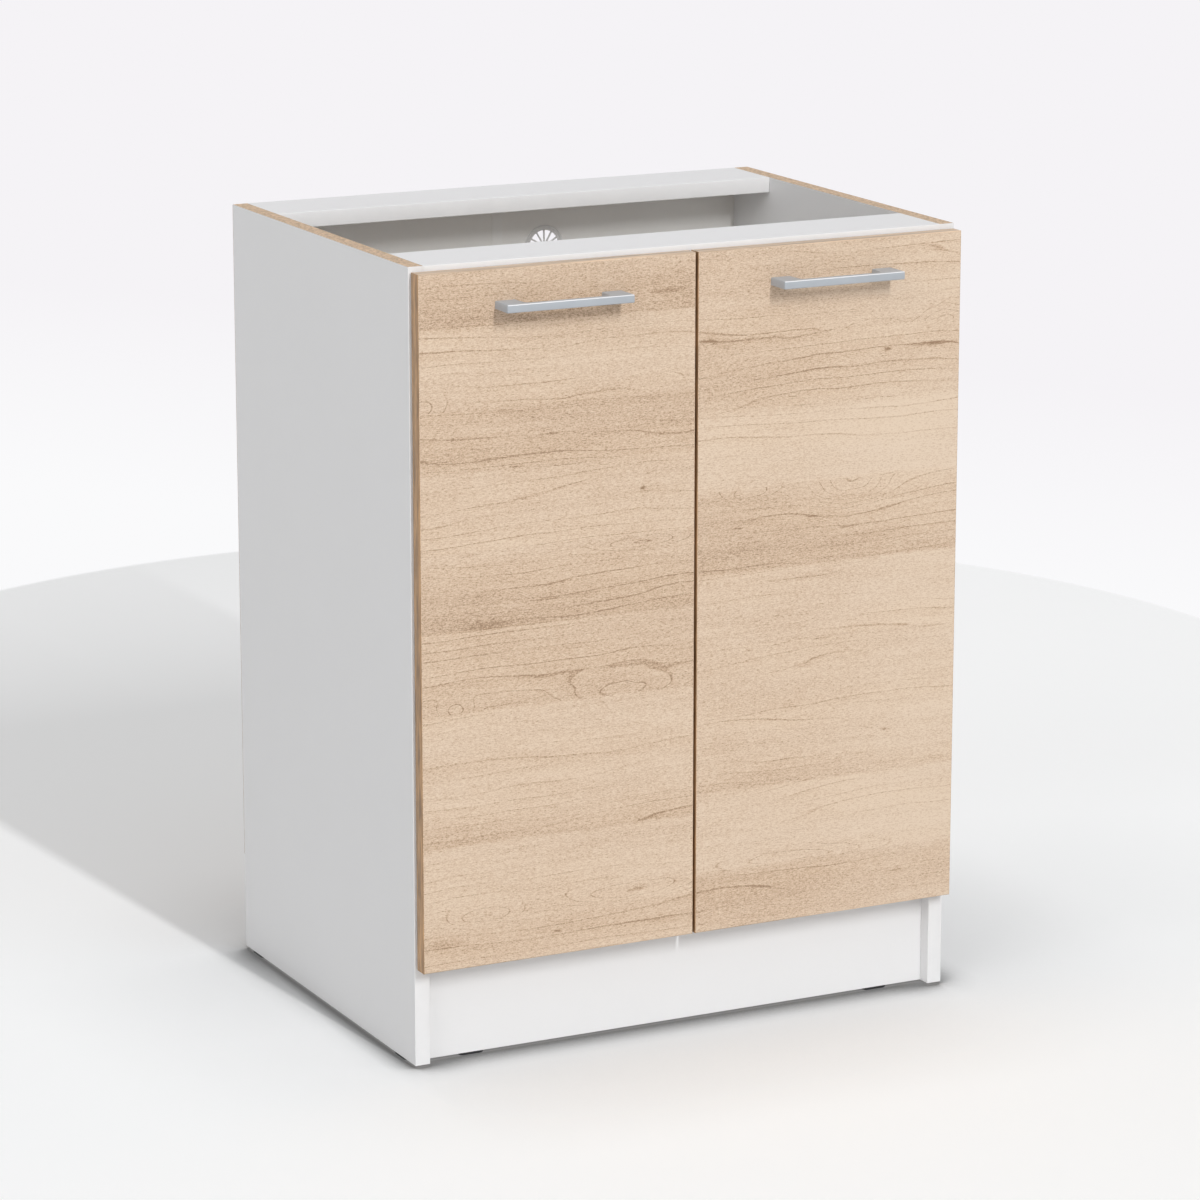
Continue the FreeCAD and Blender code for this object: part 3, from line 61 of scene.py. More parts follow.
# Points nearer than this, in metres, are one point.
TINY = 0.000001
# Share of an edge's length that lies along an axis when the edge runs along it.
ALONG_SHARE = 0.7
# Angle between the faces at an edge, in radians, over which the edge is a corner.
CORNER_ANGLE = 0.6

# Bow handle, in metres: foot on the door, how much further in the bar's rear corner lies, and the
# depth of the bar.
HANDLE_FOOT = 0.0215
HANDLE_FLARE = 0.0015
HANDLE_BAR = 0.0075

# Air vent: ribs and steps of a full turn, then in metres the inset of its collar from the rim, and
# how high over the panel the ring's upper and lower face and the foot of the hub lie.
VENT_RIBS = 12
VENT_STEPS = 96
VENT_COLLAR_INSET = 0.0023
VENT_RING_TOP = 0.0009
VENT_RING_UNDER = -0.0006
VENT_HUB_FOOT = 0.0002
# Rounded rim of the vent: distance in from the outer radius and height over the panel, in metres.
VENT_RIM = ((0, 0.0007), (0.0002, 0.0013), (0.0007, 0.0018), (0.0013, 0.0019), (0.0019, 0.0017),
            (0.0023, 0.0012), (0.0026, VENT_RING_TOP))
# Crown of the hub: share of its radius, and drop from its top in metres.
VENT_CROWN = ((0, 0), (0.45, 0.0001), (0.8, 0.0004), (1, 0.0008))
# Rib of the vent, in metres: reach into the hub and into the ring, depth under the panel's face,
# how far its inner end lies under the hub's top, and the rounding of its upper edges.
RIB_IN_HUB = 0.0006
RIB_IN_RING = 0.0005
RIB_SUNK = 0.0002
RIB_UNDER_HUB = 0.0009
RIB_ROUND = 0.0003
# Half width of the rib at the hub and at the ring, as shares of its width at the ring.
RIB_HALVES = (0.35, 0.5)

# Heights in metres between which the planks' ramps run, and the last plank's end in mm.
DECOR_LOW, DECOR_HIGH = 0.100, 0.800
LAST_PLANK_END = 102
# Step of the seed from plank to plank, and how far a seed of 1 moves a pattern along x and y.
SEED_STEP = 0.618
SEED_SHIFT = (13.7, 7.3)

# Planks of the door decor from the top: upper edge in mm, tone at the top, lower down and at the
# bottom, and how softly the plank runs into the one above it, in mm.
LEFT_PLANKS = (
    (795, 0.64, 0.49, 0.40, 1), (741.5, 0.66, 0.76, 0.66, 1), (660.5, 0.53, 0.52, 0.55, 1),
    (598, 0.67, 0.69, 0.74, 1), (520, 0.66, 0.54, 0.41, 10), (442.5, 0.62, 0.60, 0.57, 1),
    (361.7, 0.73, 0.76, 0.66, 1), (297, 0.77, 0.72, 0.52, 14), (228, 0.72, 0.77, 0.74, 1),
    (145.5, 0.64, 0.60, 0.68, 1),
)
RIGHT_PLANKS = (
    (795, 0.60, 0.62, 0.64, 1), (783, 0.64, 0.66, 0.62, 1), (707, 0.60, 0.55, 0.64, 14),
    (631.5, 0.82, 0.83, 0.79, 6), (554, 0.64, 0.54, 0.46, 1), (470.5, 0.72, 0.72, 0.73, 1),
    (395, 0.70, 0.71, 0.68, 14), (320, 0.74, 0.71, 0.57, 14), (245.5, 0.77, 0.79, 0.80, 1),
    (163, 0.57, 0.53, 0.62, 1),
)
# Cathedral figure: centre x and z, half length and half height in mm, number of rings, and the
# number of the plank that it stays in.
LEFT_EYES = (
    (-83, 362, 100, 30, 2.6, 5), (-262, 362, 34, 24, 1.9, 5), (-72, 157, 115, 17, 2.5, 8),
    (-230, 153, 62, 15, 2.1, 8), (-300, 660, 55, 30, 2.2, 1), (-60, 512, 75, 11, 2.0, 4),
)
RIGHT_EYES = (
    (283, 708, 48, 20, 3.0, 1), (205, 704, 80, 14, 1.8, 1), (175, 548, 60, 34, 2.4, 4),
    (60, 550, 50, 14, 2.0, 4), (120, 167, 150, 16, 2.5, 8),
)
# Knots, smears and dark pores: centre x and z, half length and half height in mm, strength.
LEFT_MARKS = (
    (-59, 567, 4, 2.2, 0.60), (-52, 566, 14, 7, 0.10), (-225, 446, 26, 6, 0.22),
    (-190, 443, 100, 1.0, 0.25), (-153, 127, 4.5, 1.8, 0.50), (-275, 130, 22, 4, 0.26),
    (-157, 255, 5, 1.8, 0.35), (-157, 630, 9, 1.0, 0.45), (-272, 612, 10, 0.8, 0.40),
    (-222, 611, 16, 0.8, 0.36), (-196, 601, 8, 0.9, 0.50), (-145, 598, 20, 0.7, 0.34),
    (-247, 518, 12, 2.5, 0.26), (-165, 466, 18, 0.9, 0.34), (-30, 760, 22, 3, 0.30),
)
RIGHT_MARKS = (
    (215, 682, 5, 2.6, 0.62), (265, 684, 30, 3.2, 0.40), (272, 683, 18, 1.6, 0.25),
    (108, 643, 7, 1.0, 0.45), (15, 707, 11, 4, 0.24), (131, 519, 6, 0.9, 0.50),
    (46, 515, 7, 0.9, 0.45), (172, 505, 10, 1.0, 0.45), (118, 458, 42, 0.8, 0.36),
    (167, 436, 14, 0.7, 0.32), (61, 390, 4, 2, 0.45), (36, 393, 30, 0.8, 0.22),
    (143, 393, 13, 0.8, 0.38), (270, 392, 24, 1.2, 0.30), (218, 289, 6, 1.6, 0.42),
    (235, 138, 15, 1.0, 0.38),
)

# Floor: half its width and how far it lies under the glides, in metres, its colour, the grey that
# it throws back at the cabinet, and its colour where the ground beyond the far rim starts.
FLOOR_HALF = 30
FLOOR_DROP = 0.0002
PAPER = (0.980, 0.986, 0.991)
BOUNCE = (0.75, 0.75, 0.75)
HORIZON = (0.955, 0.955, 0.965)
# How far the contact shadow looks round for the cabinet, wide and near, in metres.
SKY_REACHES = (0.30, 0.05)
# Round patch of floor with the shadow: its centre, and the radii between which its rim fades.
PATCH_CENTRE = (0.41, 0.97)
PATCH_RIM = (1.022, 1.032)
# Directions on the floor: straight away from the camera, and across its view to the right.
AWAY = (0.447, 0.894)
ACROSS = (0.894, -0.447)
# World: the colour that is seen, and the level of its light.
BACKDROP = (0.913, 0.896, 0.921)
WORLD_LEVEL = 0.495
# Point that the lamps face, and of each lamp: turn and tilt in degrees, distance, width and height
# in metres, level.
LAMP_TARGET = (0, 0, 0.4)
LAMPS = (
    ("front_strip", 3, 32.5, 16, 0.3, 5.0, 0.44),
    ("overhead_softbox", 0, 88, 5, 3, 3, 0.03),
    ("left_softbox", -60, 30, 8, 4.4, 4.4, 0.155),
)
# Camera: its place, how far it looks down and how far it is turned, in radians.
CAMERA_PLACE = (-2.108786, -4.221246, 1.536203)
CAMERA_DOWN = 0.236067
CAMERA_TURN = -0.463703


class CabinetSizes(bpy.types.PropertyGroup):
    """Roundings and small sizes of the pieces that are modelled here, in metres."""

    band_round: bpy.props.FloatProperty(
        name="Band Rounding", description="Radius on the outer edges of the edge bands",
        default=0.0006, unit="LENGTH")
    handle_corner: bpy.props.FloatProperty(
        name="Handle Corner", description="Radius inside the corners of the bow handles",
        default=0.003, unit="LENGTH")
    handle_edge: bpy.props.FloatProperty(
        name="Handle Edge", description="Radius on the long edges of the bow handles",
        default=0.0010, unit="LENGTH")
    vent_proud: bpy.props.FloatProperty(
        name="Vent Proud", description="How far the hub of the air vent stands off the back panel",
        default=0.0028, unit="LENGTH")
    vent_wall: bpy.props.FloatProperty(
        name="Vent Wall", description="Wall of the collar of the air vent",
        default=0.0014, unit="LENGTH")
    vent_hub: bpy.props.FloatProperty(
        name="Vent Hub", description="Radius of the hub of the air vent",
        default=0.0045, unit="LENGTH")
    vent_ring: bpy.props.FloatProperty(
        name="Vent Ring", description="Radius where the air slots end",
        default=0.0172, unit="LENGTH")
    vent_rib: bpy.props.FloatProperty(
        name="Vent Rib", description="Rib between two air slots at their outer end",
        default=0.0018, unit="LENGTH")


class CabinetColours(bpy.types.PropertyGroup):
    """Base colours of the finishes."""

    melamine: bpy.props.FloatVectorProperty(
        name="Melamine", description="White face of the carcass boards",
        default=(0.84, 0.84, 0.845), subtype="COLOR", min=0, max=1)
    beech_light: bpy.props.FloatVectorProperty(
        name="Beech Light", description="Palest fibres of the doors",
        default=(0.768, 0.622, 0.482), subtype="COLOR", min=0, max=1)
    beech_middle: bpy.props.FloatVectorProperty(
        name="Beech Middle", description="Darker planks of the doors",
        default=(0.622, 0.455, 0.322), subtype="COLOR", min=0, max=1)
    beech_dark: bpy.props.FloatVectorProperty(
        name="Beech Dark", description="Knots and darkest pores of the doors",
        default=(0.32, 0.205, 0.12), subtype="COLOR", min=0, max=1)
    beech_edge: bpy.props.FloatVectorProperty(
        name="Beech Edge", description="Upright edge bands of the doors",
        default=(0.44, 0.262, 0.132), subtype="COLOR", min=0, max=1)
    beech_end: bpy.props.FloatVectorProperty(
        name="Beech End", description="Upper and lower edge bands of the doors",
        default=(0.63, 0.47, 0.33), subtype="COLOR", min=0, max=1)
    chipboard: bpy.props.FloatVectorProperty(
        name="Chipboard", description="Raw core of the boards",
        default=(0.67, 0.495, 0.345), subtype="COLOR", min=0, max=1)
    hardboard: bpy.props.FloatVectorProperty(
        name="Hardboard", description="Raw rear of the back panel",
        default=(0.36, 0.21, 0.11), subtype="COLOR", min=0, max=1)
    handle_paint: bpy.props.FloatVectorProperty(
        name="Handle Paint", description="Satin grey of the bow handles",
        default=(0.44, 0.47, 0.505), subtype="COLOR", min=0, max=1)
    nickel: bpy.props.FloatVectorProperty(
        name="Nickel", description="Plated steel of the hinges and screws",
        default=(0.62, 0.60, 0.57), subtype="COLOR", min=0, max=1)
    zinc: bpy.props.FloatVectorProperty(
        name="Zinc", description="Cast zinc of the cam locks",
        default=(0.42, 0.43, 0.44), subtype="COLOR", min=0, max=1)
    glide: bpy.props.FloatVectorProperty(
        name="Glide", description="Plastic of the floor glides",
        default=(0.022, 0.022, 0.024), subtype="COLOR", min=0, max=1)
    white_plastic: bpy.props.FloatVectorProperty(
        name="White Plastic", description="Moulded plastic of the air vent",
        default=(0.82, 0.82, 0.81), subtype="COLOR", min=0, max=1)
    joint_strip: bpy.props.FloatVectorProperty(
        name="Joint Strip", description="Plastic strip between the halves of the back",
        default=(0.95, 0.95, 0.93), subtype="COLOR", min=0, max=1)
    lacquer: bpy.props.FloatVectorProperty(
        name="Lacquer", description="White inside of the back panel",
        default=(0.93, 0.925, 0.90), subtype="COLOR", min=0, max=1)
    bumper: bpy.props.FloatVectorProperty(
        name="Bumper", description="Soft dots behind the doors",
        default=(0.62, 0.62, 0.60), subtype="COLOR", min=0, max=1)
    bolt: bpy.props.FloatVectorProperty(
        name="Bolt", description="Yellowish plating of the cam bolts",
        default=(0.60, 0.56, 0.46), subtype="COLOR", min=0, max=1)
    # Painted highlight, not wear: a pale colour on the handles' upper front edges that stands in
    # for the shine of a lamp.
    painted_edge_highlight: bpy.props.FloatVectorProperty(
        name="Painted Edge Highlight", description="Painted highlight on the upper front edges of the bow handles",
        default=(0.90, 0.91, 0.93), subtype="COLOR", min=0, max=1)
    dowel_dark: bpy.props.FloatVectorProperty(
        name="Dowel Dark", description="Dark fibres of the dowels",
        default=(0.50, 0.34, 0.19), subtype="COLOR", min=0, max=1)
    dowel_light: bpy.props.FloatVectorProperty(
        name="Dowel Light", description="Pale fibres of the dowels",
        default=(0.72, 0.54, 0.34), subtype="COLOR", min=0, max=1)


class Nodes:
    """Short calls for the nodes of a finish or of the world."""

    def __init__(self, tree):
        self.tree = tree
        tree.nodes.clear()

    def add(self, kind, **settings):
        node = self.tree.nodes.new(kind)
        for name, value in settings.items():
            setattr(node, name, value)
        return node

    def join(self, value, socket):
        """Link an output to a socket, or set the socket to a plain value."""
        if isinstance(value, bpy.types.NodeSocket):
            self.tree.links.new(value, socket)
        else:
            socket.default_value = value

    def fed(self, node, *values):
        """Join values to the first inputs of a node, and return its first output."""
        for value, socket in zip(values, node.inputs):
            self.join(value, socket)
        return node.outputs[0]

    def compute(self, operation, *values):
        return self.fed(self.add("ShaderNodeMath", operation=operation), *values)

    def chain(self, operation, values):
        total = values[0]
        for value in values[1:]:
            total = self.compute(operation, total, value)
        return total

    def plus(self, *values):
        return self.chain("ADD", values)

    def times(self, *values):
        return self.chain("MULTIPLY", values)

    def choose(self, factor, first, second):
        """The first shader where the factor is 0, the second where it is 1."""
        return self.fed(self.add("ShaderNodeMixShader"), factor, first, second)

    def seen(self):
        """1 for what camera, gloss and glass see, 0 for other rays."""
        rays = self.add("ShaderNodeLightPath").outputs
        mirrored = self.compute("MAXIMUM", rays["Is Glossy Ray"], rays["Is Transmission Ray"])
        return self.compute("MAXIMUM", rays["Is Camera Ray"], mirrored)


class Finish(Nodes):
    """One material on object coordinates, and the calls for its patterns."""

    def __init__(self, name, roughness=0.5, metallic=0.0):
        self.material = bpy.data.materials.new(name + FINISH_SUFFIX)
        self.material.use_nodes = True
        super().__init__(self.material.node_tree)
        self.shader = self.add("ShaderNodeBsdfPrincipled")
        self.shader.inputs["Roughness"].default_value = roughness
        self.shader.inputs["Metallic"].default_value = metallic
        self.output = self.add("ShaderNodeOutputMaterial")
        self.join(self.shader.outputs["BSDF"], self.output.inputs["Surface"])
        self.place = self.add("ShaderNodeTexCoord")
        split = self.add("ShaderNodeSeparateXYZ")
        self.join(self.place.outputs["Object"], split.inputs[0])
        self.x, self.y, self.z = split.outputs

    def vector(self, x, y, z):
        return self.fed(self.add("ShaderNodeCombineXYZ"), x, y, z)

    def stretched(self, x, y, z, seed=0.0):
        """Object coordinates scaled per axis, moved by a seed so that planks differ."""
        return self.vector(self.plus(self.times(self.x, x), self.times(seed, SEED_SHIFT[0])),
                           self.plus(self.times(self.y, y), self.times(seed, SEED_SHIFT[1])),
                           self.times(self.z, z))

    def noise(self, vector, scale, detail, roughness=0.5):
        node = self.add("ShaderNodeTexNoise", noise_dimensions="3D")
        self.join(vector, node.inputs["Vector"])
        node.inputs["Scale"].default_value = scale
        node.inputs["Detail"].default_value = detail
        node.inputs["Roughness"].default_value = roughness
        return node.outputs["Fac"]

    def cells(self, vector):
        node = self.add("ShaderNodeTexVoronoi", voronoi_dimensions="3D")
        self.join(vector, node.inputs["Vector"])
        node.inputs["Scale"].default_value = 1
        return node.outputs["Color"]

    def span(self, value, low, high, to_low=0.0, to_high=1.0, smooth=False):
        """Map a value from one span to another, held at both ends."""
        node = self.add("ShaderNodeMapRange", clamp=True,
                        interpolation_type="SMOOTHSTEP" if smooth else "LINEAR")
        return self.fed(node, value, low, high, to_low, to_high)

    def between(self, noise, low, high):
        """Spread the usual range of a noise over two levels."""
        return self.span(noise, 0.3, 0.7, low, high)

    def swing(self, noise, amount):
        """A noise as a swing round nought."""
        return self.times(self.plus(noise, -0.5), amount)

    def distance(self, across, up):
        return self.compute("SQRT", self.plus(self.times(across, across), self.times(up, up)))

    def ramp(self, factor, stops, interpolation="LINEAR"):
        node = self.add("ShaderNodeValToRGB")
        node.color_ramp.interpolation = interpolation
        elements = node.color_ramp.elements
        for number, (position, colour) in enumerate(stops):
            element = elements[number] if number < 2 else elements.new(position)
            element.position = position
            element.color = (*colour, 1)
        self.join(factor, node.inputs["Fac"])
        return node.outputs["Color"]

    def tones(self, factor, colour, spread, dark, light):
        """Ramp through a colour, darker below the middle and lighter above it."""
        return self.ramp(factor, ((0.5 - spread, scaled(colour, dark)), (0.5, scaled(colour, 1)),
                                  (0.5 + spread, scaled(colour, light))))

    def mix(self, factor, first, second, blend_type="MIX"):
        node = self.add("ShaderNodeMix", data_type="RGBA", blend_type=blend_type)
        self.join(factor, node.inputs[0])
        for colour, socket in ((first, node.inputs[6]), (second, node.inputs[7])):
            value = colour if isinstance(colour, bpy.types.NodeSocket) else (*colour, 1)
            self.join(value, socket)
        return node.outputs[2]

    def multiply(self, first, second):
        return self.mix(1.0, first, second, "MULTIPLY")

    def grey(self, value):
        return self.fed(self.add("ShaderNodeCombineColor"), value, value, value)

    def shaded(self, colour, *layers):
        """The colour made lighter and darker by layers of a factor and its spread."""
        for factor, spread in layers:
            amount = self.span(factor, 0, 1, 1 - spread, 1 + spread)
            colour = self.multiply(colour, self.grey(amount))
        return colour

    def bump(self, height, distance, strength):
        node = self.add("ShaderNodeBump")
        node.inputs["Strength"].default_value = strength
        node.inputs["Distance"].default_value = distance
        self.join(height, node.inputs["Height"])
        self.join(node.outputs[0], self.shader.inputs["Normal"])

    def colour(self, value):
        self.join(value, self.shader.inputs["Base Color"])

    def rough(self, value):
        self.join(value, self.shader.inputs["Roughness"])

    def signed_facing(self, axis):
        """How squarely the surface faces up an axis of the object, from -1 to 1."""
        split = self.add("ShaderNodeSeparateXYZ")
        self.join(self.place.outputs["Normal"], split.inputs[0])
        return split.outputs["XYZ".index(axis)]

    def facing(self, axis):
        """How squarely the surface faces either way along an axis, from 0 to 1."""
        return self.compute("ABSOLUTE", self.signed_facing(axis))


def colours():
    return bpy.context.scene.cabinet_colours


def sizes():
    return bpy.context.scene.cabinet_sizes


def finish_named(name):
    return bpy.data.materials[name + FINISH_SUFFIX]


def wear(name, *nodes):
    """Give a finish to CAD nodes."""
    material = finish_named(name)
    for node in nodes:
        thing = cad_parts[node]
        for slot in thing.material_slots:
            slot.material = material
        if not thing.material_slots:
            thing.data.materials.append(material)


def scaled(colour, factor):
    """A colour made darker or lighter, with no part of it over 1."""
    return [min(1, part * factor) for part in colour]


def chipboard_core(finish):
    """Colour of the raw core: flattened flakes of several tans with dark specks."""
    core = colours().chipboard
    place = finish.stretched(1, 1, 1)
    warp = finish.noise(place, 320, 2)
    flakes = finish.cells(finish.vector(
        finish.plus(finish.times(finish.x, 420), finish.times(warp, 1.4)),
        finish.plus(finish.times(finish.y, 420), finish.times(warp, 1.1)),
        finish.plus(finish.times(finish.z, 520), warp)))
    split = finish.add("ShaderNodeSeparateColor")
    finish.join(flakes, split.inputs[0])
    specks = finish.noise(place, 900, 3)
    tone = finish.plus(finish.times(split.outputs[0], 0.62), finish.times(specks, 0.38))
    levels = ((0.0, 0.55), (0.35, 0.86), (0.62, 1.04), (1.0, 1.28))
    return finish.ramp(tone, [(position, scaled(core, light)) for position, light in levels])


def melamine_board(name, axis):
    """White melamine on both faces across the given axis, raw chipboard on every cut edge."""
    finish = Finish(name)
    place = finish.stretched(1, 1, 1)
    cloud = finish.noise(place, 9, 3)
    pearl = finish.noise(place, 1400, 2)
    face = finish.shaded(colours().melamine, (cloud, 0.012), (pearl, 0.018))
    on_face = finish.span(finish.facing(axis), 0.45, 0.55)
    finish.colour(finish.mix(on_face, chipboard_core(finish), face))
    finish.rough(finish.span(on_face, 0, 1, 0.9, finish.between(pearl, 0.40, 0.50)))
    rough_core = finish.noise(place, 1100, 3)
    height = finish.mix(on_face, finish.grey(finish.times(rough_core, 3.5)), finish.grey(pearl))
    finish.bump(height, 0.00006, 0.5)


def plank_bottoms(planks):
    """Lower edge of every plank in mm, which is the upper edge of the next one."""
    return [plank[0] for plank in planks[1:]] + [LAST_PLANK_END]


def plank_ramps(finish, planks):
    """Tone and seed of every plank as ramps over the height of the door."""

    def position(height):
        share = (height / MM_PER_METRE - DECOR_LOW) / (DECOR_HIGH - DECOR_LOW)
        return min(1, max(0, share))

    def grey_stops(levels):
        return [(place, (level, level, level)) for place, level in reversed(levels)]

    over = finish.span(finish.z, DECOR_LOW, DECOR_HIGH)
    tones, seeds = [], []
    softs = [plank[4] for plank in planks[1:]] + [1]
    for number, (plank, bottom, next_soft) in enumerate(zip(planks, plank_bottoms(planks), softs)):
        top, upper, middle, lower, soft = plank
        tones.append((position(top - soft * 0.5 + 0.1), upper))
        tones.append((position(top + (bottom - top) * 0.55), middle))
        tones.append((position(bottom + next_soft * 0.5 - 0.1), lower))
        seeds.append((position(bottom), (number * SEED_STEP) % 1))
    tone = finish.ramp(over, grey_stops(tones))
    return tone, finish.ramp(over, grey_stops(seeds), "CONSTANT")


def spot(finish, x, z, length, height, wobble):
    """Distance from a spot's centre, 1 on its oval rim."""
    across = finish.times(finish.plus(finish.x, -x / MM_PER_METRE), MM_PER_METRE / length)
    up = finish.plus(finish.times(finish.plus(finish.z, -z / MM_PER_METRE), MM_PER_METRE / height),
                     wobble)
    return finish.distance(across, up)


def growth_rings(finish, planks, eyes, seed, drift):
    """Rings as level lines of a slow field that closes into loops round the eyes.

    Returns the strength of the dark lines and that of the shade between them."""
    wave = finish.noise(finish.stretched(4.0, 1, 8, seed), 1, 2, 0.4)
    ripple = finish.noise(finish.stretched(22, 1, 36, seed), 1, 2)
    pace = finish.noise(finish.stretched(0.6, 1, 34, seed), 1, 1)
    field = finish.plus(finish.times(finish.z, 78), finish.times(wave, 3.6),
                        finish.times(pace, 2.6), finish.times(ripple, 0.24))
    wobble = finish.swing(ripple, 0.5)
    near = 0.0
    bottoms = plank_bottoms(planks)
    for x, z, length, height, rings, number in eyes:
        reach = spot(finish, x, z, length, height, wobble)
        above = finish.compute("GREATER_THAN", finish.z, bottoms[number] / MM_PER_METRE)
        below = finish.compute("LESS_THAN", finish.z, planks[number][0] / MM_PER_METRE)
        hump = finish.times(finish.span(reach, 0, 1.05, 1, 0, smooth=True), above, below)
        field = finish.plus(field, finish.times(hump, rings * 1.3))
        near = finish.plus(near, hump)
    ring = finish.compute("FRACT", field)
    line = finish.times(finish.span(ring, 0.87, 0.955, 0, 1, smooth=True),
                        finish.span(ring, 0.965, 1.0, 1, 0))
    shown = finish.compute("MAXIMUM", finish.span(drift, 0.44, 0.62, 0.12, 1),
                           finish.span(near, 0.02, 0.3))
    return finish.times(line, shown), finish.times(finish.plus(ring, -0.5), shown)


def beech_board(name, planks, eyes, marks, painted_sheen=0.0):
    """Staved beech decor on both faces of a door, grain sideways, raw chipboard on the edges.

    A board can get a painted sheen: lighter towards the right, as light falls across it."""
    finish = Finish(name)
    tint = colours()
    tone, seed = plank_ramps(finish, planks)
    drift = finish.noise(finish.stretched(4, 1, 22, seed), 1, 2)
    cloud = finish.noise(finish.stretched(9, 1, 60, seed), 1, 3, 0.55)
    streak = finish.noise(finish.stretched(8, 1, 210, seed), 1, 3, 0.6)
    thread = finish.noise(finish.stretched(30, 1, 430, seed), 1, 3, 0.6)
    fibre = finish.noise(finish.stretched(250, 1, 1350), 1, 2, 0.55)
    weave = finish.noise(finish.stretched(600, 1, 1000), 1, 1)
    pore = finish.noise(finish.stretched(70, 1, 1050), 1, 1)
    line, shade = growth_rings(finish, planks, eyes, seed, drift)
    factor = finish.plus(tone, finish.swing(drift, 0.16), finish.swing(cloud, 0.30),
                         finish.swing(streak, 0.30), finish.swing(thread, 0.22),
                         finish.swing(fibre, 1.50), finish.swing(weave, 1.10),
                         finish.times(shade, -0.07), finish.times(line, -0.44), 0.02)
    dots = finish.times(finish.span(pore, 0.64, 0.74), finish.span(cloud, 0.34, 0.56, 1, 0.1))
    factor = finish.plus(factor, finish.times(dots, -0.22))
    # Painted light: the decor gets lighter towards the board's right edge, like a sheen of light
    # across the door.
    if painted_sheen:
        factor = finish.plus(factor, finish.span(finish.x, 0.10, 0.26, 0, painted_sheen, smooth=True))
    wobble = finish.swing(thread, 1.4)
    for x, z, length, height, strength in marks:
        reach = spot(finish, x, z, length, height, wobble)
        factor = finish.plus(factor, finish.span(reach, 0.2, 1.4, -strength, 0, smooth=True))
    decor = finish.ramp(factor, ((0.0, tint.beech_dark), (0.5, tint.beech_middle),
                                 (1.0, tint.beech_light)))
    decor = finish.mix(finish.span(drift, 0.35, 0.65, 0, 0.5), decor,
                       finish.multiply(decor, (1.0, 0.985, 0.955)))
    on_face = finish.span(finish.facing("Y"), 0.45, 0.55)
    finish.colour(finish.mix(on_face, chipboard_core(finish), decor))
    finish.rough(finish.between(fibre, 0.46, 0.58))
    height = finish.plus(fibre, finish.times(dots, -0.8), finish.times(line, -0.4))
    finish.bump(height, 0.00003, 0.4)


def beech_band(name):
    """Beech coloured edge band, its grain along the band."""
    finish = Finish(name)
    tint = colours()
    upright = finish.span(finish.facing("X"), 0.4, 0.6)
    along = finish.noise(finish.stretched(900, 190, 24), 1, 4, 0.65)
    across = finish.noise(finish.stretched(6, 300, 900), 1, 4, 0.6)
    grain = finish.span(upright, 0, 1, across, along)
    shades = [finish.tones(grain, brown, 0.16, 0.58, 1.40)
              for brown in (tint.beech_end, tint.beech_edge)]
    finish.colour(finish.mix(upright, *shades))
    finish.rough(finish.between(grain, 0.40, 0.52))
    finish.bump(grain, 0.00005, 0.5)


def hardboard(name):
    """Hardboard back: white lacquer inside, raw brown fibre outside and on the edges."""
    finish = Finish(name)
    tint = colours()
    place = finish.stretched(1, 1, 1)
    felt = finish.noise(place, 700, 4, 0.65)
    cloud = finish.noise(place, 14, 3)
    raw = finish.shaded(finish.tones(felt, tint.hardboard, 0.25, 0.6, 1.4), (cloud, 0.12))
    lacquer = finish.shaded(tint.lacquer, (cloud, 0.012), (felt, 0.02))
    inside = finish.span(finish.signed_facing("Y"), -0.55, -0.45, 1, 0)
    finish.colour(finish.mix(inside, raw, lacquer))
    finish.rough(finish.span(inside, 0, 1, 0.85, 0.4))
    finish.bump(felt, 0.00008, 0.5)


def moulded(name, colour, roughness, grain=1500, mottle=0.03):
    """Moulded plastic or lacquer: slightly mottled, with a fine grain."""
    finish = Finish(name)
    place = finish.stretched(1, 1, 1)
    cloud = finish.noise(place, 60, 3)
    fine = finish.noise(place, grain, 2)
    finish.colour(finish.shaded(colour, (cloud, mottle), (fine, mottle * 0.6)))
    finish.rough(finish.between(fine, roughness - 0.06, roughness + 0.06))
    finish.bump(fine, 0.00004, 0.4)


def plated(name, colour, roughness):
    """Plated or cast metal: a fine satin with rubbed, slightly darker patches."""
    finish = Finish(name, metallic=1.0)
    place = finish.stretched(1, 1, 1)
    cloud = finish.noise(place, 120, 3)
    fine = finish.noise(place, 2600, 2)
    finish.colour(finish.shaded(colour, (cloud, 0.10), (fine, 0.04)))
    finish.rough(finish.between(cloud, roughness - 0.06, roughness + 0.08))
    finish.bump(fine, 0.00003, 0.4)


def satin_paint(name, colour, highlight_colour):
    """Smooth satin paint with a faint mottle, and a painted highlight along the upper front edges.
    """
    finish = Finish(name)
    finish.shader.inputs["Specular IOR Level"].default_value = 0.3
    cloud = finish.noise(finish.stretched(18, 60, 60), 1, 2)
    fine = finish.noise(finish.stretched(1, 1, 1), 1800, 2)
    paint = finish.shaded(colour, (cloud, 0.07), (fine, 0.012))
    # Painted highlight: where the surface faces both up and forward, the colour turns pale,
    # standing in for a lamp's shine on the rounded edge.
    upward = finish.signed_facing("Z")
    forward = finish.times(finish.signed_facing("Y"), -1.0)
    painted_highlight = finish.span(finish.times(upward, forward), 0.16, 0.40)
    finish.colour(finish.mix(painted_highlight, paint, highlight_colour))
    finish.rough(finish.between(cloud, 0.37, 0.43))
    finish.bump(fine, 0.000004, 0.3)


def dowel_wood(name):
    """Beech dowel, grain along X."""
    finish = Finish(name, roughness=0.7)
    tint = colours()
    grain = finish.noise(finish.stretched(40, 900, 900), 1, 4, 0.6)
    finish.colour(finish.ramp(grain, ((0.3, tint.dowel_dark), (0.7, tint.dowel_light))))
    finish.bump(grain, 0.0001, 0.5)


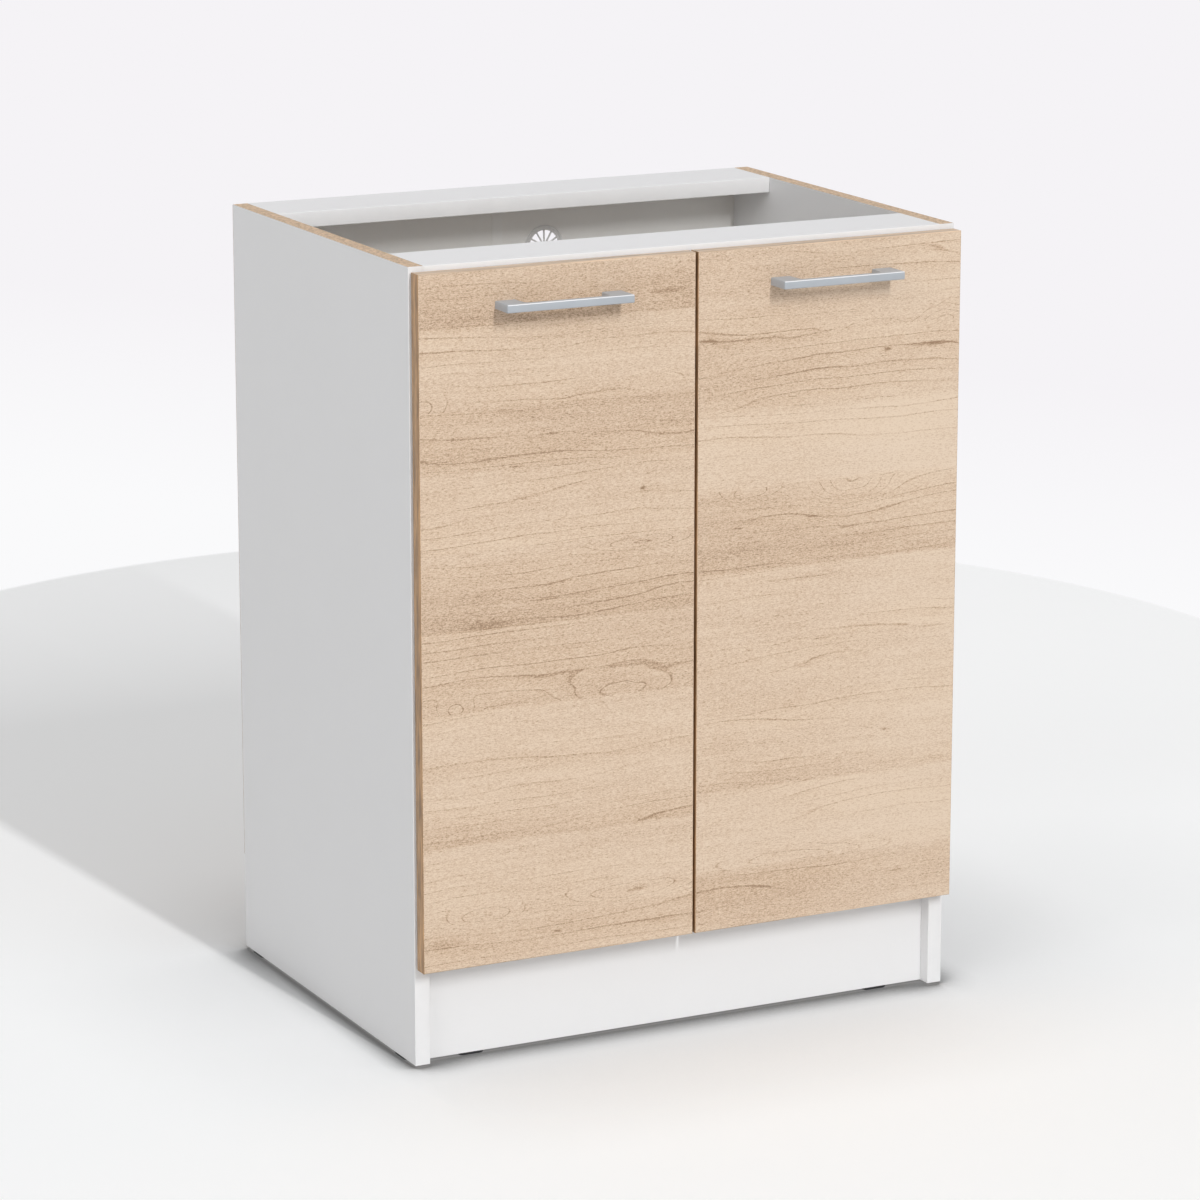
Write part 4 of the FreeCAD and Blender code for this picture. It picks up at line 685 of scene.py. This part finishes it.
def mesh_object(name, bm):
    """Turn a bmesh into an object of the scene."""
    mesh = bpy.data.meshes.new(name)
    bm.to_mesh(mesh)
    bm.free()
    thing = bpy.data.objects.new(name, mesh)
    bpy.context.scene.collection.objects.link(thing)
    return thing


def new_piece(name, bm, finish, body, *stands_for, slot=None, smooth=0.0):
    """Turn a bmesh into a finished piece that rides a body and stands for CAD nodes."""
    bmesh.ops.remove_doubles(bm, verts=bm.verts, dist=TINY)
    bmesh.ops.recalc_face_normals(bm, faces=bm.faces)
    thing = mesh_object(name, bm)
    mesh = thing.data
    mesh.materials.append(finish_named(finish))
    if smooth:
        mesh.shade_smooth()
        mesh.set_sharp_from_angle(angle=math.radians(smooth))
    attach(thing, body)
    if stands_for:
        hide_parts(*stands_for)


def slab(bm, low, high):
    """Cube stretched between two corners; returns its vertices."""
    made = bmesh.ops.create_cube(bm, size=1)
    verts = made["verts"]
    size = Vector(high) - Vector(low)
    bmesh.ops.scale(bm, vec=size, verts=verts)
    bmesh.ops.translate(bm, vec=(Vector(high) + Vector(low)) / 2, verts=verts)
    return verts


def round_edges(bm, edges, radius, segments=3):
    return bmesh.ops.bevel(bm, geom=list(edges), offset=radius, segments=segments, profile=0.5,
                           affect="EDGES", material=-1, offset_type="OFFSET")


def runs_along(edge, axis):
    """Whether an edge is longer along an axis than across it."""
    reach = edge.verts[1].co - edge.verts[0].co
    return abs(getattr(reach, axis)) > ALONG_SHARE * reach.length


def edges_of(verts, test):
    """Edges between the given vertices whose both ends pass a test."""
    chosen = set(verts)
    found = {edge for vert in verts for edge in vert.link_edges
             if all(end in chosen for end in edge.verts)}
    return [edge for edge in found if all(test(end.co) for end in edge.verts)]


class CABINET_OT_finishes(bpy.types.Operator):
    """Make every finish of the cabinet"""

    bl_idname = "cabinet.finishes"
    bl_label = "Make Finishes"

    def execute(self, context):
        tint = colours()
        for axis in "XYZ":
            melamine_board("white_board_across_" + axis.lower(), axis)
        beech_board("beech_door_left", LEFT_PLANKS, LEFT_EYES, LEFT_MARKS)
        # The right door gets a painted sheen, lighter towards its right edge.
        beech_board("beech_door_right", RIGHT_PLANKS, RIGHT_EYES, RIGHT_MARKS, 0.12)
        beech_band("beech_edge_band")
        hardboard("hardboard_back")
        moulded("white_edge_band", tint.melamine, 0.38)
        moulded("white_plastic", tint.white_plastic, 0.32)
        moulded("back_strip", tint.joint_strip, 0.4)
        moulded("glide_plastic", tint.glide, 0.5, 900, 0.12)
        moulded("bumper_rubber", tint.bumper, 0.35, 700, 0.06)
        satin_paint("handle_paint", tint.handle_paint, tint.painted_edge_highlight)
        plated("hinge_nickel", tint.nickel, 0.24)
        plated("screw_nickel", tint.nickel, 0.3)
        plated("cam_zinc", tint.zinc, 0.45)
        plated("bolt_steel", tint.bolt, 0.35)
        dowel_wood("dowel_wood")
        return {"FINISHED"}


class CABINET_OT_boards(bpy.types.Operator):
    """Finish the carcass boards, the shelf and the back"""

    bl_idname = "cabinet.boards"
    bl_label = "Finish Boards"

    def execute(self, context):
        wear("white_board_across_x", "side_panel_left", "side_panel_right")
        wear("white_board_across_z", "bottom_panel", "top_rail_front", "top_rail_rear", "shelf")
        wear("white_board_across_y", "plinth_board")
        wear("hardboard_back", "back_panel_left", "back_panel_right")
        wear("back_strip", "back_joint_strip")
        return {"FINISHED"}


class CABINET_OT_fittings(bpy.types.Operator):
    """Finish the joint fittings, pins, nails and glides"""

    bl_idname = "cabinet.fittings"
    bl_label = "Finish Fittings"

    def execute(self, context):
        wear("cam_zinc", "cam_locks")
        wear("bolt_steel", "cam_bolts")
        wear("dowel_wood", "wooden_dowels")
        wear("screw_nickel", "shelf_pins", "back_panel_nails", "glide_nails")
        wear("glide_plastic", "floor_glides")
        return {"FINISHED"}


class CABINET_OT_carcass_bands(bpy.types.Operator):
    """Model the white edge bands on the front edges of the carcass"""

    bl_idname = "cabinet.carcass_bands"
    bl_label = "Carcass Edge Bands"

    def execute(self, context):
        node = "carcass_edge_bands"
        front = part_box(node)[0].y
        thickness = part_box("side_panel_left")[0].y - front
        bm = bmesh.new()
        for board in ("side_panel_left", "side_panel_right", "bottom_panel", "top_rail_front",
                      "top_rail_rear", "shelf"):
            low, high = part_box(board)
            face = low.y - thickness
            verts = slab(bm, (low.x, face, low.z), (high.x, low.y, high.z))
            upright = high.z - low.z > high.x - low.x
            along = "z" if upright else "x"
            front_edges = edges_of(verts, lambda at, face=face: abs(at.y - face) < TINY)
            long_edges = [edge for edge in front_edges if runs_along(edge, along)]
            round_edges(bm, long_edges, sizes().band_round)
        new_piece("rounded_carcass_bands", bm, "white_edge_band", "carcass", node,
                  slot="white_edge_band", smooth=35)
        return {"FINISHED"}


class CABINET_OT_vent(bpy.types.Operator):
    """Model the round air vent: rounded rim, lower ring, hub and tapered ribs"""

    bl_idname = "cabinet.vent"
    bl_label = "Air Vent"

    def execute(self, context):
        node = "vent_rosette"
        low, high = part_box(node)
        centre = (low + high) / 2
        shape = sizes()
        hub, ring, rim = shape.vent_hub, shape.vent_ring, (high.x - low.x) / 2
        collar = rim - VENT_COLLAR_INSET
        bore = collar - shape.vent_wall
        panel = low.y + shape.vent_proud
        end = panel - high.y
        bm = bmesh.new()
        # Rim, ring and collar are one turned section of radius and height over the panel's face.
        section = ((collar, end), (collar, 0), (rim, 0),
                   *((rim - inward, height) for inward, height in VENT_RIM),
                   (ring, VENT_RING_TOP), (ring, VENT_RING_UNDER), (bore, VENT_RING_UNDER),
                   (bore, end))
        self.turned(bm, section, centre, panel, closed=True)
        crown = (*((hub * share, shape.vent_proud - drop) for share, drop in VENT_CROWN),
                 (hub, VENT_HUB_FOOT), (0, VENT_HUB_FOOT))
        self.turned(bm, crown, centre, panel, closed=False)
        for number in range(VENT_RIBS):
            self.rib(bm, centre, panel, math.tau * number / VENT_RIBS)
        new_piece("air_vent", bm, "white_plastic", "carcass", node,
                  slot="white_plastic", smooth=40)
        return {"FINISHED"}

    def turned(self, bm, section, centre, panel, closed):
        """Turn a section of radius and height over the panel round the vent's axis."""
        verts = [bm.verts.new((centre.x + radius, panel - height, centre.z))
                 for radius, height in section]
        pairs = list(zip(verts, verts[1:]))
        if closed:
            pairs.append((verts[-1], verts[0]))
        edges = [bm.edges.new(pair) for pair in pairs]
        bmesh.ops.spin(bm, geom=verts + edges, cent=(centre.x, 0, centre.z), axis=(0, 1, 0),
                       dvec=(0, 0, 0), angle=math.tau, steps=VENT_STEPS, use_merge=True,
                       use_duplicate=False)

    def rib(self, bm, centre, panel, angle):
        """One rib from the hub down to the ring, wider at the ring, its upper edges rounded."""
        shape = sizes()
        inner, outer = shape.vent_hub - RIB_IN_HUB, shape.vent_ring + RIB_IN_RING
        verts = slab(bm, (-0.5, 0, 0), (0.5, 1, 1))
        for vert in verts:
            at_ring = vert.co.z > 0.5
            half = shape.vent_rib * RIB_HALVES[at_ring]
            raised = VENT_RING_TOP if at_ring else shape.vent_proud - RIB_UNDER_HUB
            vert.co = (vert.co.x * 2 * half, -raised if vert.co.y < 0.5 else RIB_SUNK,
                       outer if at_ring else inner)
        upper = [edge for edge in edges_of(verts, lambda at: at.y < 0) if runs_along(edge, "z")]
        found = round_edges(bm, upper, RIB_ROUND, 2)
        moved = {vert for vert in verts if vert.is_valid} | set(found["verts"])
        place = Matrix.Translation((centre.x, panel, centre.z)) @ Matrix.Rotation(angle, 4, "Y")
        bmesh.ops.transform(bm, matrix=place, verts=list(moved))


class CABINET_OT_doors(bpy.types.Operator):
    """Finish the door panels and model their rounded edge bands"""

    bl_idname = "cabinet.doors"
    bl_label = "Doors"

    def execute(self, context):
        for side in SIDES:
            wear("beech_door_" + side, "door_panel_" + side)
            wear("bumper_rubber", "door_bumpers_" + side)
            node = "door_edge_bands_" + side
            low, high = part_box(node)
            inner_low, inner_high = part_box("door_panel_" + side)
            bm = bmesh.new()
            radius = sizes().band_round
            strips = (
                ((low.x, low.y, low.z), (inner_low.x, high.y, high.z), "x", low.x),
                ((inner_high.x, low.y, low.z), (high.x, high.y, high.z), "x", high.x),
                ((inner_low.x, low.y, low.z), (inner_high.x, high.y, inner_low.z), "z", low.z),
                ((inner_low.x, low.y, inner_high.z), (inner_high.x, high.y, high.z), "z", high.z),
            )
            for corner, far, axis, face in strips:
                verts = slab(bm, corner, far)
                outer = edges_of(verts, lambda at, axis=axis, face=face:
                                 abs(getattr(at, axis) - face) < TINY)
                along = "z" if axis == "x" else "x"
                round_edges(bm, [edge for edge in outer if runs_along(edge, along)], radius)
            new_piece("rounded_edge_bands_" + side, bm, "beech_edge_band", side + "_door", node,
                      slot="beech_edge_band", smooth=35)
        return {"FINISHED"}


class CABINET_OT_handles(bpy.types.Operator):
    """Model the two bow handles and finish their screws"""

    bl_idname = "cabinet.handles"
    bl_label = "Bow Handles"

    def execute(self, context):
        for side in SIDES:
            node = "handle_" + side
            low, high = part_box(node)
            rear = low.y + HANDLE_BAR
            inset = HANDLE_FOOT + HANDLE_FLARE
            outline = ((low.x, high.y), (low.x, low.y), (high.x, low.y), (high.x, high.y),
                       (high.x - HANDLE_FOOT, high.y), (high.x - inset, rear),
                       (low.x + inset, rear), (low.x + HANDLE_FOOT, high.y))
            bm = bmesh.new()
            face = bm.faces.new([bm.verts.new((x, y, low.z)) for x, y in outline])
            raised = bmesh.ops.extrude_face_region(bm, geom=[face])["geom"]
            top = [item for item in raised if isinstance(item, bmesh.types.BMVert)]
            bmesh.ops.translate(bm, vec=(0, 0, high.z - low.z), verts=top)
            inner = [edge for edge in bm.edges if runs_along(edge, "z")
                     and all(abs(end.co.y - rear) < TINY for end in edge.verts)]
            round_edges(bm, inner, sizes().handle_corner, 5)
            off_door = [edge for edge in bm.edges
                        if not all(abs(end.co.y - high.y) < TINY for end in edge.verts)
                        and edge.calc_face_angle(0) > CORNER_ANGLE]
            round_edges(bm, off_door, sizes().handle_edge)
            new_piece("bow_handle_" + side, bm, "handle_paint", side + "_door", node,
                      slot="handle_paint", smooth=40)
            wear("screw_nickel", "handle_screws_" + side)
        return {"FINISHED"}


class CABINET_OT_hinges(bpy.types.Operator):
    """Finish the plates, arms, links, cups, pins and screws of the hinges"""

    bl_idname = "cabinet.hinges"
    bl_label = "Concealed Hinges"

    def execute(self, context):
        for side in SIDES:
            for level in LEVELS:
                for part in ("mounting_plate", "hinge_arm", "short_link", "long_link", "hinge_cup"):
                    wear("hinge_nickel", part + "_" + side + "_" + level)
            for part in ("arm_pins", "cup_pins", "plate_screws", "cup_screws", "arm_screws"):
                wear("screw_nickel", part + "_" + side)
        return {"FINISHED"}


class CABINET_OT_stage(bpy.types.Operator):
    """Set up the floor, the lights, the pale world and the camera"""

    bl_idname = "cabinet.stage"
    bl_label = "Stage"

    def execute(self, context):
        scene = context.scene
        self.floor()
        self.lights(scene)
        self.world(scene)
        self.camera(scene)
        scene.view_settings.view_transform = "Standard"
        return {"FINISHED"}

    def floor(self):
        bm = bmesh.new()
        bmesh.ops.create_grid(bm, x_segments=4, y_segments=4, size=FLOOR_HALF)
        bmesh.ops.translate(bm, vec=(0, 0, -FLOOR_DROP), verts=bm.verts)
        floor = mesh_object("studio_floor", bm)
        floor.data.materials.append(self.floor_finish())

    def floor_finish(self):
        """Pale paper that keeps the shadow and passes into the backdrop beyond its far rim."""
        finish = Finish("studio_floor", roughness=0.9)
        finish.shader.inputs["Specular IOR Level"].default_value = 0.1
        seen = finish.seen()
        wide, near = (self.open_sky(finish, reach) for reach in SKY_REACHES)
        grain = finish.noise(finish.stretched(1, 1, 1), 3, 2)
        paper = finish.shaded(PAPER, (grain, 0.004))
        contact = finish.multiply(paper, finish.grey(self.contact_shadow(finish, wide, near)))
        finish.colour(finish.mix(seen, BOUNCE, contact))
        depth, across = self.along(finish, AWAY), self.along(finish, ACROSS)
        lift = finish.add("ShaderNodeEmission")
        raised = self.raised(finish, wide, near, depth, across)
        finish.join(finish.times(seen, raised), lift.inputs["Strength"])
        lit = finish.add("ShaderNodeAddShader")
        finish.fed(lit, finish.shader.outputs[0], lift.outputs[0])
        far = finish.span(finish.plus(depth, finish.times(across, 0.55)), 1.95, 3.7)
        glow = finish.add("ShaderNodeEmission")
        finish.join(finish.mix(far, HORIZON, BACKDROP), glow.inputs["Color"])
        shown = finish.times(self.beyond(finish, depth), seen)
        finish.join(finish.choose(shown, lit.outputs[0], glow.outputs[0]),
                    finish.output.inputs["Surface"])
        return finish.material

    def open_sky(self, finish, reach):
        """How open the sky is over a point of the floor, within a reach in metres."""
        hollow = finish.add("ShaderNodeAmbientOcclusion", samples=8)
        hollow.inputs["Distance"].default_value = reach
        return hollow.outputs["AO"]

    def along(self, finish, direction):
        """Distance from the middle of the floor along a direction."""
        return finish.plus(finish.times(finish.x, direction[0]),
                           finish.times(finish.y, direction[1]))

    def contact_shadow(self, finish, wide, near):
        """Darkening at the cabinet's foot, kept faint on the lit ground left of the side panel."""
        close = finish.times(finish.compute("POWER", wide, 0.30),
                             finish.span(near, 0.50, 0.99, 0.25, 1, smooth=True))
        sheltered = finish.compute("MAXIMUM", finish.span(finish.x, -0.326, -0.303),
                                   finish.span(finish.y, -0.05, 0.2))
        kept = finish.span(sheltered, 0, 1, 0.35, 1)
        return finish.plus(1.0, finish.times(finish.plus(close, -1.0), kept))

    def raised(self, finish, wide, near, depth, across):
        """Light added under the cabinet and on open ground, most behind it on the right."""
        brighter = finish.times(finish.span(depth, 0.2, 0.6),
                                finish.span(across, 0.1, 0.4, 0, 0.08))
        return finish.plus(finish.span(near, 0.1, 0.5, 0.20, 0.03),
                           finish.times(finish.span(wide, 0.80, 1.0),
                                        finish.plus(brighter, 0.042)))

    def beyond(self, finish, depth):
        """1 past the far rim of the round patch of floor and far out on every side."""
        reach = finish.distance(finish.plus(finish.x, -PATCH_CENTRE[0]),
                                finish.plus(finish.y, -PATCH_CENTRE[1]))
        past_rim = finish.times(finish.span(reach, *PATCH_RIM), finish.span(depth, 0.95, 1.2))
        outer = finish.span(finish.distance(finish.x, finish.y), 2.0, 4.5, smooth=True)
        return finish.compute("MAXIMUM", past_rim, outer)

    def lights(self, scene):
        for name, turn, tilt, distance, width, height, level in LAMPS:
            lamp = bpy.data.lights.new(name, "AREA")
            lamp.shape = "RECTANGLE"
            lamp.size, lamp.size_y = width, height
            lamp.energy = level * (math.pi * distance) ** 2
            turn, tilt = math.radians(turn), math.radians(tilt)
            away = Vector((math.sin(turn) * math.cos(tilt), -math.cos(turn) * math.cos(tilt),
                           math.sin(tilt)))
            holder = bpy.data.objects.new(name, lamp)
            holder.location = Vector(LAMP_TARGET) + away * distance
            holder.rotation_euler = away.to_track_quat("Z", "Y").to_euler()
            scene.collection.objects.link(holder)

    def world(self, scene):
        """Even white light on the cabinet, and the pale backdrop for what is seen."""
        world = bpy.data.worlds.new("pale_studio")
        world.use_nodes = True
        nodes = Nodes(world.node_tree)
        out = nodes.add("ShaderNodeOutputWorld")
        soft, backdrop = nodes.add("ShaderNodeBackground"), nodes.add("ShaderNodeBackground")
        soft.inputs["Color"].default_value = (1, 1, 1, 1)
        soft.inputs["Strength"].default_value = WORLD_LEVEL
        backdrop.inputs["Color"].default_value = (*BACKDROP, 1)
        nodes.join(nodes.choose(nodes.seen(), soft.outputs[0], backdrop.outputs[0]),
                   out.inputs["Surface"])
        scene.world = world

    def camera(self, scene):
        eye = bpy.data.cameras.new("photo_camera")
        eye.sensor_width = 36
        eye.lens = 141.2445
        eye.clip_start = 0.1
        eye.clip_end = 100
        holder = bpy.data.objects.new("photo_camera", eye)
        holder.location = CAMERA_PLACE
        holder.rotation_euler = (math.pi / 2 - CAMERA_DOWN, 0, CAMERA_TURN)
        scene.collection.objects.link(holder)
        scene.camera = holder


OPERATORS = (
    CABINET_OT_finishes, CABINET_OT_boards, CABINET_OT_fittings, CABINET_OT_carcass_bands,
    CABINET_OT_vent, CABINET_OT_doors, CABINET_OT_handles, CABINET_OT_hinges, CABINET_OT_stage,
)


class CABINET_PT_sidebar(bpy.types.Panel):
    """Sizes, colours and steps of the cabinet"""

    bl_idname = "CABINET_PT_sidebar"
    bl_label = "Base Cabinet"
    bl_space_type = "VIEW_3D"
    bl_region_type = "UI"
    bl_category = "Cabinet"

    def draw(self, context):
        for group in (context.scene.cabinet_sizes, context.scene.cabinet_colours):
            box = self.layout.box()
            for name in group.__annotations__:
                box.prop(group, name)
        for step in OPERATORS:
            self.layout.operator(step.bl_idname)


CLASSES = (CabinetSizes, CabinetColours, *OPERATORS, CABINET_PT_sidebar)


def register():
    for entry in CLASSES:
        bpy.utils.register_class(entry)
    bpy.types.Scene.cabinet_sizes = bpy.props.PointerProperty(type=CabinetSizes)
    bpy.types.Scene.cabinet_colours = bpy.props.PointerProperty(type=CabinetColours)


def unregister():
    del bpy.types.Scene.cabinet_colours
    del bpy.types.Scene.cabinet_sizes
    for entry in reversed(CLASSES):
        bpy.utils.unregister_class(entry)


def main():
    register()
    for step in OPERATORS:
        group, name = step.bl_idname.split(".")
        getattr(getattr(bpy.ops, group), name)()


if __name__ == "__main__":
    main()
